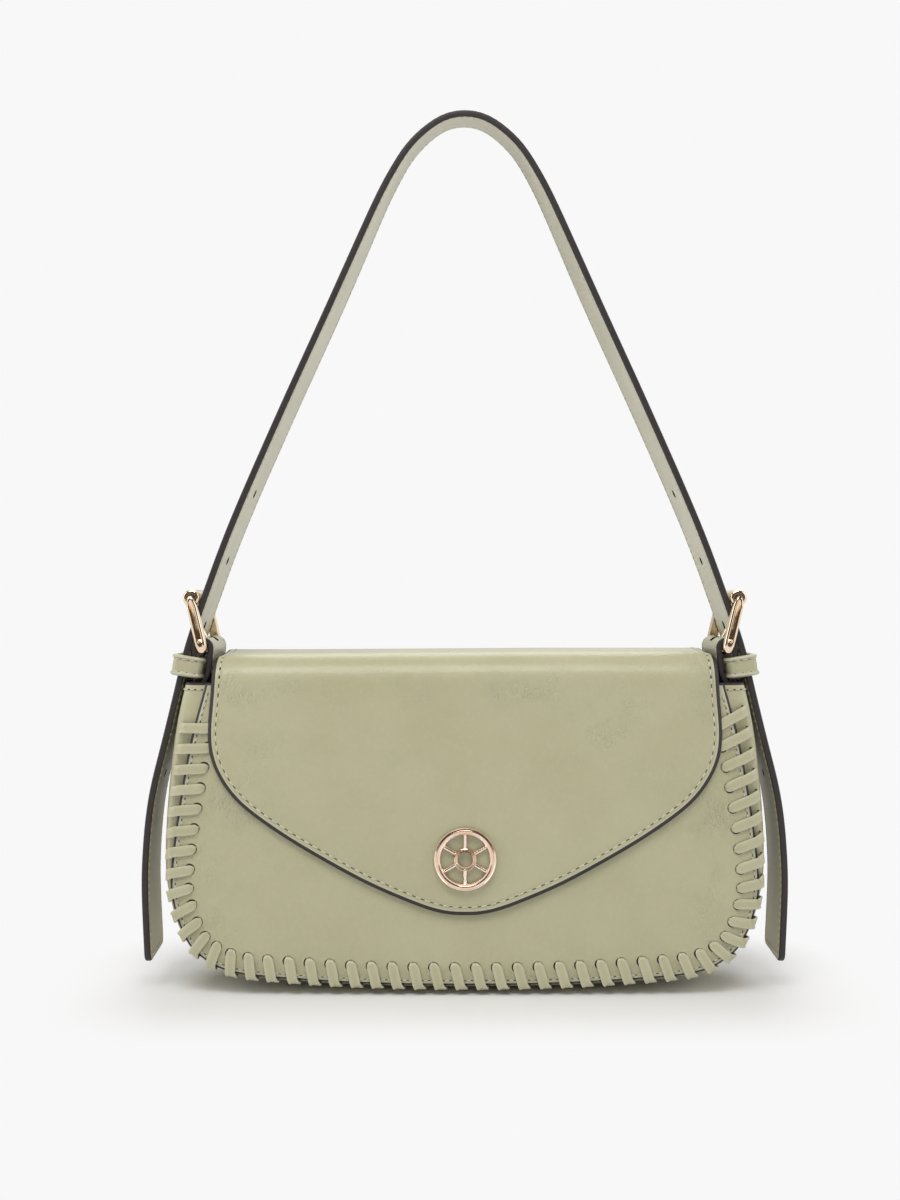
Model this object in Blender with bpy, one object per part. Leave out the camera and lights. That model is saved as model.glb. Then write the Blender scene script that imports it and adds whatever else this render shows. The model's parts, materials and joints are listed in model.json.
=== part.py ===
"""Flap shoulder bag: laced front panel, bulging gusset, curved flap, buckled strap and round emblem.

Units are metres and +Z is up. The front of the bag faces -Y and its width runs along X. The origin
is on the floor under the middle of the body. Every sub-part is one object with its own material.
"""

import math

import bmesh
import bpy
from mathutils import Vector

MM = 0.001

# Running clearances
SKIN_GAP = 0.3 * MM
PIN_GAP = 0.08 * MM
CUT_OVERRUN = 2.0 * MM

# Body
BODY_DEPTH = 56.0 * MM
BODY_HALF_WIDTH = 132.5 * MM
BODY_BOTTOM = 4.4 * MM
BODY_TOP = 140.5 * MM
PANEL_THICKNESS = 2.0 * MM
LINING_THICKNESS = 0.8 * MM
PANEL_SHARES = (
    (0.880, 1.0), (0.934, 0.799), (0.980, 0.537), (1.0, 0.346), (0.990, 0.263),
    (0.959, 0.173), (0.906, 0.101), (0.785, 0.041), (0.528, 0.0154), (0.265, 0.003), (0.0, 0.0),
)
BACK_SHOULDER_INSET = 4.6 * MM

# Gusset
GUSSET_THICKNESS = 1.8 * MM
FLANGE_DEPTH = 5.2 * MM
SHOULDER_DEPTH = 3.4 * MM
BULGE_LOW = 3.3 * MM
BULGE_TOP = 9.9 * MM
BULGE_START_SHARE = 0.4
CROWN_LOW = 3.0 * MM
CROWN_TOP = 1.0 * MM
WEB_FLAT_SHARE = 0.5

# Lacing
LACE_COUNT = 50
LACE_WIDTH = 4.6 * MM
LACE_THICKNESS = 0.9 * MM
LACE_FOLDED_WIDTH = 3.4 * MM
LACE_START = 18.5 * MM
LACE_INSET = 8.3 * MM
LACE_SLANT = 4.0 * MM
LACE_HOLE_RADIUS = 2.8 * MM
LACE_SLOT_LENGTH = 4.6 * MM
LACE_SLOT_WIDTH = 2.6 * MM
HOLE_SIDES = 8

# Flap
FLAP_THICKNESS = 2.2 * MM
FLAP_STAND_OFF = 2.2 * MM
FLAP_RISE = 14.5 * MM
FLAP_INSET = 0.7 * MM
FLAP_SHOULDER_TAPER = 4.6 * MM
FLAP_TIP_RISE = 31.9 * MM
FLAP_ROLL_DROP = 4.5 * MM
FLAP_BACK_RADIUS = 10.0 * MM
FLAP_TIP_SHARES = (
    (0.0, 0.04), (0.015, 0.112), (0.046, 0.186), (0.135, 0.368), (0.245, 0.544), (0.365, 0.717),
    (0.51, 0.888), (0.562, 0.92), (0.618, 0.957), (0.706, 0.99), (0.792, 1.0), (0.92, 0.992), (1.0, 0.983),
)

# Snap closure and emblem
CLOSURE_RISE = 26.0 * MM
SOCKET_RADIUS = 7.0 * MM
SOCKET_THICKNESS = 0.7 * MM
STUD_RADIUS = 5.5 * MM
STUD_THICKNESS = 0.6 * MM
EMBLEM_RADIUS = 14.3 * MM
EMBLEM_BAND = 3.6 * MM
EMBLEM_HEIGHT = 2.6 * MM
EMBLEM_HUB_RADIUS = 5.2 * MM
EMBLEM_HUB_BAND = 2.0 * MM
EMBLEM_SPOKE_WIDTH = 2.0 * MM
EMBLEM_SPOKES = 6

# Slip pocket
POCKET_HALF_WIDTH = 75.0 * MM
POCKET_DROP = 18.5 * MM
POCKET_DEPTH = 77.0 * MM
POCKET_THICKNESS = 1.1 * MM

# Buckles
BUCKLE_OUTSET = 2.9 * MM
BUCKLE_RISE = 15.5 * MM
BUCKLE_LEAN = math.radians(13.3)
BUCKLE_LENGTH = 23.4 * MM
BAR_RADIUS = 2.2 * MM
ARM_WIDTH = 4.6 * MM
ARM_THICKNESS = 3.8 * MM
ARM_BEVEL = 1.1 * MM
PIN_RADIUS = 1.5 * MM
ROLLER_RADIUS = 3.85 * MM
PRONG_RADIUS = 1.3 * MM
PRONG_EYE_RADIUS = 3.7 * MM
PRONG_EYE_WIDTH = 4.4 * MM
PRONG_OVERHANG = 3.0 * MM

# Strap
STRAP_WIDTH = 38.0 * MM
STRAP_THICKNESS = 3.0 * MM
STRAP_TOP = 401.9 * MM
STRAP_CLEARANCE = 1.3 * MM
STRAP_HOLE_RADIUS = 2.5 * MM
STRAP_SLOT_LENGTH = 8.8 * MM
STRAP_HOLE_PITCH = 34.0 * MM
STRAP_HOLES_ABOVE = 2
TAIL_HOLES = 2
STRAP_LOOP_SHARES = (
    (0.0, 1.0), (0.060, 0.996), (0.117, 0.980), (0.206, 0.939), (0.266, 0.891), (0.340, 0.817),
    (0.526, 0.596), (0.713, 0.375), (0.893, 0.153),
)
TAIL_STAND_OFF = 13.5 * MM
TAIL_END_Z = 12.5 * MM
TAIL_CORNER = 4.0 * MM
TAIL_SHARES = (
    (0.27, 0.140), (0.51, 0.260), (0.75, 0.380), (0.906, 0.505), (0.994, 0.660),
    (1.0, 0.755), (0.96, 0.878), (0.912, 1.0),
)

# Chapes and keepers
CHAPE_THICKNESS = 2.4 * MM
CHAPE_SEAM_LENGTH = 19.5 * MM
CHAPE_SLOT_WIDTH = 6.2 * MM
KEEPER_HEIGHT = 8.4 * MM
KEEPER_THICKNESS = 1.6 * MM
KEEPER_CORNER = 2.4 * MM
KEEPER_DROP = 4.1 * MM

ROUND_SIDES = 16
SIDES = {"left": -1, "right": 1}

# Derived places
FRONT_Y = -BODY_DEPTH / 2
BACK_Y = BODY_DEPTH / 2
PANEL_TOP_X = PANEL_SHARES[0][0] * BODY_HALF_WIDTH
BACK_SHOULDER_WIDTH = PANEL_TOP_X - BACK_SHOULDER_INSET
FLAP_TOP = BODY_TOP + FLAP_RISE
FLAP_HALF_WIDTH = PANEL_TOP_X - FLAP_INSET
FLAP_SHOULDER_WIDTH = FLAP_HALF_WIDTH - FLAP_SHOULDER_TAPER
FLAP_TIP_Z = BODY_BOTTOM + FLAP_TIP_RISE
FLAP_ROLL_Z = BODY_TOP - FLAP_ROLL_DROP
CLOSURE_Z = FLAP_TIP_Z + CLOSURE_RISE
POCKET_TOP = BODY_TOP - POCKET_DROP
POCKET_BOTTOM = POCKET_TOP - POCKET_DEPTH
BUCKLE_BAR_X = PANEL_TOP_X + BUCKLE_OUTSET
BUCKLE_BAR_Z = BODY_TOP + BUCKLE_RISE
TAIL_SPREAD = BODY_HALF_WIDTH + TAIL_STAND_OFF
CHAPE_BOTTOM = BODY_TOP - CHAPE_SEAM_LENGTH
FLANGE_Y = BODY_DEPTH / 2 - PANEL_THICKNESS - SKIN_GAP
FLAP_BACK_Y = FRONT_Y - FLAP_STAND_OFF
FLAP_MID_Y = FLAP_BACK_Y - FLAP_THICKNESS / 2
FLAP_FRONT_Y = FLAP_BACK_Y - FLAP_THICKNESS
HINGE_Y = BACK_Y - FLAP_THICKNESS / 2
HINGE_Z = FLAP_TOP - FLAP_THICKNESS / 2 - FLAP_BACK_RADIUS
BACK_TOP = HINGE_Z - FLAP_THICKNESS / 2 - SKIN_GAP
CHAPE_RADIUS = BAR_RADIUS + SKIN_GAP + CHAPE_THICKNESS / 2
CHAPE_OUTER = CHAPE_RADIUS + CHAPE_THICKNESS / 2
KEEPER_TOP = BUCKLE_BAR_Z - KEEPER_DROP
KEEPER_BOTTOM = KEEPER_TOP - KEEPER_HEIGHT
TAIL_PIVOT_Z = KEEPER_BOTTOM - 2 * SKIN_GAP - STRAP_THICKNESS / 2
ARM_Y = STRAP_WIDTH / 2 + 2 * SKIN_GAP + ARM_THICKNESS / 2
BAR_CENTRE = Vector((BUCKLE_BAR_X, BUCKLE_BAR_Z))
BUCKLE_UP = Vector((math.sin(BUCKLE_LEAN), math.cos(BUCKLE_LEAN)))
BUCKLE_OUT = Vector((BUCKLE_UP.y, -BUCKLE_UP.x))
ROLLER_CENTRE = BAR_CENTRE + BUCKLE_UP * BUCKLE_LENGTH
STRAP_BY_ROLLER = ROLLER_CENTRE - BUCKLE_OUT * (ROLLER_RADIUS + STRAP_CLEARANCE + STRAP_THICKNESS / 2)
STRAP_BY_BAR = BAR_CENTRE + Vector((CHAPE_OUTER + STRAP_CLEARANCE / 2 + STRAP_THICKNESS / 2, 0))
OUTER_LEG_X = BUCKLE_BAR_X + CHAPE_RADIUS
INNER_LEG_X = BUCKLE_BAR_X - CHAPE_RADIUS
STRAP_BY_KEEPER_X = STRAP_BY_BAR.x + (BUCKLE_BAR_Z - TAIL_PIVOT_Z) * math.tan(BUCKLE_LEAN)
TAIL_PIVOT = Vector((STRAP_BY_KEEPER_X, TAIL_PIVOT_Z))


# Curves in a plane

def smooth(points, steps):
    """Points of a Catmull-Rom curve through the given points, with steps spans between each pair."""
    knots = [Vector(p) for p in points]
    padded = [2 * knots[0] - knots[1]] + knots + [2 * knots[-1] - knots[-2]]
    result = []
    for a, b, c, d in zip(padded, padded[1:], padded[2:], padded[3:]):
        for step in range(steps):
            t = step / steps
            result.append(b + 0.5 * ((c - a) * t + (2 * a - 5 * b + 4 * c - d) * t**2
                                     + (3 * b - a - 3 * c + d) * t**3))
    return result + [knots[-1]]


def arc(centre, radius, start, end, steps):
    """Points of a circular arc between two angles in degrees, both ends included."""
    angles = [math.radians(start + (end - start) * i / steps) for i in range(steps + 1)]
    return [Vector(centre) + radius * Vector((math.cos(a), math.sin(a))) for a in angles]


def length_along(points):
    """Distance from the first point to each point of a polyline."""
    result = [0.0]
    for a, b in zip(points, points[1:]):
        result.append(result[-1] + (b - a).length)
    return result


def tangents(points):
    """Unit direction of a polyline at each of its points."""
    ahead = points[1:] + points[-1:]
    behind = points[:1] + points[:-1]
    return [(a - b).normalized() for a, b in zip(ahead, behind)]


def place_on(points, distance):
    """Point and unit direction at a distance along a polyline."""
    lengths = length_along(points)
    directions = tangents(points)
    last = len(points) - 2
    index = next((i for i in range(last + 1) if lengths[i + 1] >= distance), last)
    share = (distance - lengths[index]) / (lengths[index + 1] - lengths[index])
    point = points[index].lerp(points[index + 1], share)
    return point, directions[index].lerp(directions[index + 1], share).normalized()


def right_normal(direction):
    """The direction turned a quarter clockwise."""
    return Vector((direction.y, -direction.x))


def offset(points, distance):
    """The polyline moved to its right-hand side."""
    return [p + right_normal(t) * distance for p, t in zip(points, tangents(points))]


def upright(points, y):
    """Points of the XZ plane as points in space."""
    return [Vector((p.x, y, p.y)) for p in points]


# Objects

def material(name, colour, roughness, metallic=0.0):
    """A Principled material, made once for each name."""
    if name in bpy.data.materials:
        return bpy.data.materials[name]
    result = bpy.data.materials.new(name)
    result.use_nodes = True
    shader = result.node_tree.nodes["Principled BSDF"]
    shader.inputs["Base Color"].default_value = (*colour, 1)
    shader.inputs["Roughness"].default_value = roughness
    shader.inputs["Metallic"].default_value = metallic
    return result


def leather():
    return material("sage_leather", (0.50, 0.50, 0.33), 0.42)


def strap_leather():
    return material("strap_leather", (0.47, 0.47, 0.34), 0.45)


def lining_cloth():
    return material("lining_cloth", (0.42, 0.38, 0.30), 0.9)


def gold():
    return material("pale_gold", (0.83, 0.66, 0.44), 0.18, 1.0)


def steel():
    return material("magnet_steel", (0.62, 0.60, 0.56), 0.3, 1.0)


def finish(bm, name, surface, origin=(0, 0, 0)):
    """An object from a bmesh, with its origin moved to the given point."""
    bmesh.ops.recalc_face_normals(bm, faces=bm.faces)
    bmesh.ops.translate(bm, verts=bm.verts, vec=-Vector(origin))
    mesh = bpy.data.meshes.new(name)
    bm.to_mesh(mesh)
    bm.free()
    mesh.materials.append(surface)
    mesh.shade_smooth()
    mesh.set_sharp_from_angle(angle=math.radians(35))
    result = bpy.data.objects.new(name, mesh)
    result.location = origin
    bpy.context.collection.objects.link(result)
    return result


def bridge(bm, rings, closed=False):
    """Faces between rings of points, with a cap on each end unless the rings close on themselves."""
    loops = [[bm.verts.new(p) for p in ring] for ring in rings]
    pairs = list(zip(loops, loops[1:] + loops[:1] if closed else loops[1:]))
    for first, second in pairs:
        for i, vert in enumerate(first):
            j = (i + 1) % len(first)
            bm.faces.new((vert, first[j], second[j], second[i]))
    if not closed:
        bm.faces.new(loops[0])
        bm.faces.new(loops[-1])


def loft(name, rings, surface, origin=(0, 0, 0), closed=False):
    bm = bmesh.new()
    bridge(bm, rings, closed)
    return finish(bm, name, surface, origin)


def plate(name, outline, y_front, y_back, surface, origin=(0, 0, 0)):
    """A flat sheet: an outline of the XZ plane extruded along Y."""
    return loft(name, [upright(outline, y_front), upright(outline, y_back)], surface, origin)


def round_outline(centre, radius, sides, stretch=1.0):
    """A regular outline about a centre, stretched along its first direction."""
    turn = math.tau / sides
    return [Vector(centre) + Vector((radius * stretch * math.cos(turn * (i + 0.5)),
                                     radius * math.sin(turn * (i + 0.5)))) for i in range(sides)]


def rod(name, centre, radius, y_front, y_back, surface, sides=ROUND_SIDES, origin=(0, 0, 0)):
    """A cylinder along Y."""
    return plate(name, round_outline(centre, radius, sides), y_front, y_back, surface, origin)


def tube(name, centre, radius, bore, half_width, surface, sides=ROUND_SIDES, origin=(0, 0, 0)):
    """A cylinder along Y with a bore through it."""
    outer = round_outline(centre, radius, sides)
    inner = round_outline(centre, bore, sides)
    rings = [upright(outer, -half_width), upright(outer, half_width),
             upright(inner, half_width), upright(inner, -half_width)]
    return loft(name, rings, surface, origin, closed=True)


def combine(target, tool, operation):
    """Joins a tool to a target, or cuts it out, by an exact Boolean; the tool stays as a wire guide."""
    modifier = target.modifiers.new(tool.name, "BOOLEAN")
    modifier.operation = operation
    modifier.solver = "EXACT"
    modifier.object = tool
    tool.hide_render = True
    tool.display_type = "WIRE"
    tool.hide_set(True)


def cutter_group(name, ring_pairs):
    """One object that holds many separate prisms, each given by its two end rings."""
    bm = bmesh.new()
    for rings in ring_pairs:
        bridge(bm, rings)
    return finish(bm, name, leather())


# Body

def panel_rail():
    """Edge of the panels from the left top, down and round the bottom, to the right top."""
    height = BODY_TOP - BODY_BOTTOM
    half = [(-w * BODY_HALF_WIDTH, BODY_BOTTOM + h * height) for w, h in PANEL_SHARES]
    mirrored = [(-x, z) for x, z in reversed(half[:-1])]
    return smooth(half + mirrored, 2)


def height_share(point):
    return (point.y - BODY_BOTTOM) / (BODY_TOP - BODY_BOTTOM)


def bulge_at(point):
    """How far the gusset's shoulder stands outside the panel's edge."""
    climb = max(0, (height_share(point) - BULGE_START_SHARE) / (1 - BULGE_START_SHARE))
    return BULGE_LOW + (BULGE_TOP - BULGE_LOW) * climb


def crown_at(point):
    """How far the middle of the gusset stands outside its shoulders."""
    return CROWN_LOW + (CROWN_TOP - CROWN_LOW) * height_share(point)


def gusset_profile(point):
    """Closed section of the gusset: distance outside the panel's edge, Y, and least height."""
    bulge = bulge_at(point)
    crown = crown_at(point)
    shoulder_y = FLANGE_Y - SHOULDER_DEPTH
    flat = (bulge + crown, WEB_FLAT_SHARE * shoulder_y)
    outer = [(-FLANGE_DEPTH, FLANGE_Y), (SKIN_GAP, FLANGE_Y),
             (bulge * 0.55, FLANGE_Y - SHOULDER_DEPTH * 0.12),
             (bulge * 0.88, FLANGE_Y - SHOULDER_DEPTH * 0.45), (bulge, shoulder_y), flat]
    thick = GUSSET_THICKNESS
    inner = [(-FLANGE_DEPTH, FLANGE_Y - thick), (bulge * 0.5 - thick * 0.7, FLANGE_Y - thick),
             (bulge - thick, shoulder_y - thick * 0.4), (flat[0] - thick, flat[1])]
    outside = [(n, -y, 0) for n, y in outer] + [(n, y, 0) for n, y in reversed(outer)]
    inside = inner + [(n, -y) for n, y in reversed(inner)]
    return outside + [(n, y, thick) for n, y in inside]


def out_of(point, direction, out, y, least_z):
    """A point in space at a distance outside the panel's edge, never under the given height."""
    place = point + right_normal(direction) * out
    return Vector((place.x, y, max(place.y, least_z)))


def make_gusset(rail, holes):
    directions = tangents(rail)
    directions[0] = Vector((0, -1))
    directions[-1] = Vector((0, 1))
    rings = [[out_of(point, direction, *place) for place in gusset_profile(point)]
             for point, direction in zip(rail, directions)]
    gusset = loft("gusset", rings, leather())
    combine(gusset, holes, "DIFFERENCE")
    return gusset


def make_front_panel(rail, holes):
    panel = plate("front_panel", rail, FRONT_Y, FRONT_Y + PANEL_THICKNESS, leather())
    combine(panel, holes, "DIFFERENCE")
    return panel


def make_back_panel(rail):
    neck = [Vector((side * BACK_SHOULDER_WIDTH, BACK_TOP)) for side in (1, -1)]
    return plate("back_panel", rail + neck, BACK_Y - PANEL_THICKNESS, BACK_Y, leather())


def make_linings(rail):
    """Lining sheets behind both panels, clear of the lacing and of the gusset's flanges."""
    clear = LACE_INSET + LACE_HOLE_RADIUS + 2 * SKIN_GAP
    front = offset(rail, -clear)
    back = offset(rail, -FLANGE_DEPTH - 2 * SKIN_GAP)
    plate("front_lining", front, -FLANGE_Y, -FLANGE_Y + LINING_THICKNESS, lining_cloth())
    plate("back_lining", back, FLANGE_Y - LINING_THICKNESS, FLANGE_Y, lining_cloth())
    pocket_back = FLANGE_Y - LINING_THICKNESS - SKIN_GAP
    corners = [(-1, POCKET_TOP), (-1, POCKET_BOTTOM), (1, POCKET_BOTTOM), (1, POCKET_TOP)]
    outline = [Vector((side * POCKET_HALF_WIDTH, z)) for side, z in corners]
    plate("slip_pocket", outline, pocket_back - POCKET_THICKNESS, pocket_back, lining_cloth())


# Lacing

class Seam:
    """The panel's edge as a path that carries the stitches of the lacing."""

    def __init__(self, rail):
        self.rail = rail
        length = length_along(rail)[-1]
        self.pitch = (length - 2 * LACE_START) / (LACE_COUNT - 1)
        self.starts = [LACE_START + self.pitch * i for i in range(LACE_COUNT)]

    def at(self, distance, out, y):
        point, direction = place_on(self.rail, distance)
        place = point + right_normal(direction) * out
        return Vector((place.x, y, place.y))

    def along(self, distance):
        _, direction = place_on(self.rail, distance)
        return Vector((direction.x, 0, direction.y))

    def shoulder(self, distance):
        """Middle of a slot in the gusset's shoulder: distance outside the edge, and Y."""
        point, _ = place_on(self.rail, distance)
        return bulge_at(point) * 0.62, -FLANGE_Y + SHOULDER_DEPTH * 0.25


def panel_hole_rings(seam):
    """Round punched holes through the front panel."""
    ends = (FRONT_Y - CUT_OVERRUN, FRONT_Y + PANEL_THICKNESS + CUT_OVERRUN)
    pairs = []
    for start in seam.starts:
        centre = seam.at(start, -LACE_INSET, 0)
        outline = round_outline((centre.x, centre.z), LACE_HOLE_RADIUS, HOLE_SIDES)
        pairs.append([upright(outline, y) for y in ends])
    return pairs


def shoulder_slot_rings(seam):
    """Slots through the gusset's shoulder, where the lace turns back into the bag."""
    pairs = []
    for start in seam.starts:
        distance = start + LACE_SLANT
        out, y = seam.shoulder(distance)
        along = seam.along(distance)
        outward = seam.at(distance, 1, 0) - seam.at(distance, 0, 0)
        axis = (outward + Vector((0, -1, 0))).normalized()
        across = axis.cross(along)
        centre = seam.at(distance, out, y)
        corners = ((-1, -1), (1, -1), (1, 1), (-1, 1))
        rings = [[centre + axis * reach + along * u * LACE_SLOT_LENGTH / 2 + across * v * LACE_SLOT_WIDTH / 2
                  for u, v in corners]
                 for reach in (CUT_OVERRUN, -GUSSET_THICKNESS - CUT_OVERRUN)]
        pairs.append(rings)
    return pairs


def lace_turn(seam, start, step):
    """One turn of the spiral: out of a panel hole, over the edge, into a slot and back inside.

    Each place holds the distance along the seam, the distance outside the edge, Y and the width.
    """
    rise = FRONT_Y - SKIN_GAP - LACE_THICKNESS / 2
    out, slot_y = seam.shoulder(start + LACE_SLANT)
    half = LACE_THICKNESS / 2
    inside = -FLANGE_Y + GUSSET_THICKNESS + SKIN_GAP + half
    wide = LACE_WIDTH
    narrow = LACE_FOLDED_WIDTH
    slant = LACE_SLANT
    places = [
        (0, -LACE_INSET, FRONT_Y + PANEL_THICKNESS / 2, narrow),
        (0, half - LACE_INSET, rise, wide),
        (0.6 * slant, half / 2, rise, wide),
        (0.85 * slant, out * 0.75, rise + LACE_THICKNESS, wide),
        (slant, out + LACE_THICKNESS, slot_y - LACE_THICKNESS * 1.4, wide),
        (slant, out, slot_y, narrow),
        (slant, out - GUSSET_THICKNESS, slot_y + GUSSET_THICKNESS, narrow),
        (slant + 0.65 * (step - slant), -FLANGE_DEPTH - half, inside + half / 2, narrow),
        (slant + 0.92 * (step - slant), half - LACE_INSET, -FLANGE_Y + LACE_THICKNESS, narrow),
    ]
    return [(start + along, n, y, width) for along, n, y, width in places]


def make_lace(seam):
    """The whole spiral as one flat strip that never touches itself or the leather."""
    places = []
    for start in seam.starts[:-1]:
        places += lace_turn(seam, start, seam.pitch)
    places += lace_turn(seam, seam.starts[-1], seam.pitch)[:7]
    centres = [seam.at(along, n, y) for along, n, y, _ in places]
    rings = []
    for place, centre, direction in zip(places, centres, tangents(centres)):
        along = seam.along(place[0])
        across = (along - direction * along.dot(direction)).normalized() * place[3] / 2
        thick = direction.cross(across).normalized() * LACE_THICKNESS / 2
        rings.append([centre + across + thick, centre - across + thick,
                      centre - across - thick, centre + across - thick])
    return loft("lace", rings, leather())


# Flap

def flap_path():
    """Middle line of the flap in the YZ plane, from its tip over the roll to the hinge."""
    half = FLAP_THICKNESS / 2
    roll = FLAP_TOP - half - FLAP_ROLL_Z
    front = [Vector((FLAP_MID_Y, FLAP_TIP_Z + share * (FLAP_ROLL_Z - FLAP_TIP_Z)))
             for share, _ in FLAP_TIP_SHARES]
    over = arc((FLAP_MID_Y + roll, FLAP_ROLL_Z), roll, 180, 90, 8)
    behind = arc((HINGE_Y - FLAP_BACK_RADIUS, HINGE_Z), FLAP_BACK_RADIUS, 90, 0, 6)
    return front + over[1:] + behind


def flap_widths(count):
    """Half width of the flap at each point of its path."""
    front = [width * FLAP_HALF_WIDTH for _, width in FLAP_TIP_SHARES]
    rest = count - len(front)
    fade = [min(1, (i + 1) / 7) for i in range(rest)]
    return front + [front[-1] + (FLAP_SHOULDER_WIDTH - front[-1]) * share for share in fade]


def make_flap():
    path = flap_path()
    widths = flap_widths(len(path))
    half = FLAP_THICKNESS / 2
    rings = []
    for place, direction, width in zip(path, tangents(path), widths):
        side = right_normal(direction) * half
        above = place - side
        below = place + side
        rings.append([Vector((-width, above.x, above.y)), Vector((width, above.x, above.y)),
                      Vector((width, below.x, below.y)), Vector((-width, below.x, below.y))])
    for turn in (30, 60):
        reach = half * math.cos(math.radians(turn))
        drop = HINGE_Z - half * math.sin(math.radians(turn))
        rings.append([Vector((side * widths[-1], HINGE_Y + shift, drop))
                      for side, shift in ((-1, reach), (1, reach), (1, -reach), (-1, -reach))])
    return loft("flap", rings, leather(), (0, HINGE_Y, HINGE_Z))


def make_closure():
    """Two thin magnetic discs that meet behind the emblem."""
    centre = (0, CLOSURE_Z)
    socket_back = FRONT_Y - SKIN_GAP
    stud_front = FLAP_BACK_Y + SKIN_GAP
    rod("snap_socket", centre, SOCKET_RADIUS, socket_back - SOCKET_THICKNESS, socket_back, steel(), 24)
    rod("snap_stud", centre, STUD_RADIUS, stud_front, stud_front + STUD_THICKNESS, steel(), 24,
        (0, HINGE_Y, HINGE_Z))


def band_ring(name, radius, band, back, height, sides):
    """A ring standing on the flap, with two rounded ridges and a groove between them."""
    inner = radius - band
    profile = [(radius, 0), (radius, 0.6), (radius - band * 0.25, 1.0), (radius - band * 0.5, 0.7),
               (inner + band * 0.25, 1.0), (inner, 0.6), (inner, 0)]
    rings = [upright(round_outline((0, CLOSURE_Z), r, sides), back - height * share)
             for r, share in profile]
    return loft(name, rings, gold(), (0, HINGE_Y, HINGE_Z), closed=True)


def make_emblem():
    """Outer ring and a plain spoked wheel inside it."""
    back = FLAP_FRONT_Y - SKIN_GAP
    band_ring("emblem_ring", EMBLEM_RADIUS, EMBLEM_BAND, back, EMBLEM_HEIGHT, 32)
    wheel = band_ring("emblem_wheel", EMBLEM_HUB_RADIUS, EMBLEM_HUB_BAND, back, EMBLEM_HEIGHT, 24)
    reach = EMBLEM_RADIUS - EMBLEM_BAND - SKIN_GAP
    half = EMBLEM_SPOKE_WIDTH / 2
    for index in range(EMBLEM_SPOKES):
        turn = math.tau * index / EMBLEM_SPOKES
        along = Vector((math.sin(turn), math.cos(turn)))
        side = right_normal(along) * half
        centre = Vector((0, CLOSURE_Z))
        start = centre + along * (EMBLEM_HUB_RADIUS - EMBLEM_HUB_BAND / 2)
        end = centre + along * reach
        outline = [start + side, end + side, end - side, start - side]
        spoke = plate("spoke_" + str(index), outline, back - EMBLEM_HEIGHT / 2, back, gold())
        combine(wheel, spoke, "UNION")


# Strap

def mirrored(points, side):
    return [Vector((p.x * side, p.y)) for p in points]


def strap_half():
    """Middle line of half the strap, from the top of the loop to its lower end at the keeper."""
    top = STRAP_TOP - STRAP_THICKNESS / 2
    low = STRAP_BY_ROLLER
    loop = [(x * low.x, low.y + z * (top - low.y)) for x, z in STRAP_LOOP_SHARES]
    leaning = (STRAP_BY_KEEPER_X - STRAP_BY_BAR.x) / (BUCKLE_BAR_Z - TAIL_PIVOT_Z)
    end_z = TAIL_PIVOT_Z + STRAP_THICKNESS / 2 + SKIN_GAP
    end = (STRAP_BY_BAR.x + leaning * (BUCKLE_BAR_Z - end_z), end_z)
    return [Vector(p) for p in loop + [tuple(low), tuple(STRAP_BY_BAR), end]]


def tail_line():
    """Middle line of the loose end below the keeper."""
    spread = TAIL_SPREAD - TAIL_PIVOT.x
    drop = TAIL_PIVOT.y - TAIL_END_Z
    points = [(TAIL_PIVOT.x + x * spread, TAIL_PIVOT.y - z * drop) for x, z in TAIL_SHARES]
    return smooth([tuple(TAIL_PIVOT)] + points, 2)


def band(name, line, width, thickness, surface, origin=(0, 0, 0), widths=None):
    """A flat strip along a line of the XZ plane, as wide as given along Y."""
    widths = widths or [width] * len(line)
    rings = []
    for place, direction, wide in zip(line, tangents(line), widths):
        side = right_normal(direction) * thickness / 2
        rings.append([Vector((place.x + s * side.x, y * wide / 2, place.y + s * side.y))
                      for s, y in ((1, -1), (1, 1), (-1, 1), (-1, -1))])
    return loft(name, rings, surface, origin)


def hole_rings(centre, direction, thickness, length, width):
    """Rings of a hole through a strap, long along the strap."""
    along = Vector((direction.x, 0, direction.y))
    through = Vector((-direction.y, 0, direction.x))
    flat = round_outline((0, 0), width / 2, HOLE_SIDES, length / width)
    return [[Vector((centre.x, 0, centre.y)) + through * reach + along * p.x + Vector((0, p.y, 0))
             for p in flat] for reach in (thickness, -thickness)]


def prong_crossing(line):
    """Distance along the strap at which the prong goes through its middle line."""
    direction = prong_direction()
    lengths = length_along(line)
    for i, (a, b) in enumerate(zip(line, line[1:])):
        first = (a - BAR_CENTRE).cross(direction)
        second = (b - BAR_CENTRE).cross(direction)
        if first * second <= 0 and (a - BAR_CENTRE).dot(direction) > 0:
            return lengths[i] + (b - a).length * first / (first - second)
    raise ValueError("the prong misses the strap")


def make_strap():
    half = smooth([tuple(p) for p in strap_half()], 3)
    line = mirrored(list(reversed(half)), -1) + half[1:]
    strap = band("strap", line, STRAP_WIDTH, STRAP_THICKNESS, strap_leather())
    crossing = prong_crossing(half)
    size = 2 * STRAP_HOLE_RADIUS
    pairs = []
    for side in SIDES.values():
        for index in range(STRAP_HOLES_ABOVE + 1):
            point, direction = place_on(half, crossing - index * STRAP_HOLE_PITCH)
            point = Vector((point.x * side, point.y))
            direction = Vector((direction.x * side, direction.y))
            length = size if index else STRAP_SLOT_LENGTH
            pairs.append(hole_rings(point, direction, STRAP_THICKNESS, length, size))
    combine(strap, cutter_group("strap_holes", pairs), "DIFFERENCE")
    return length_along(half)[-1] - crossing


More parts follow.
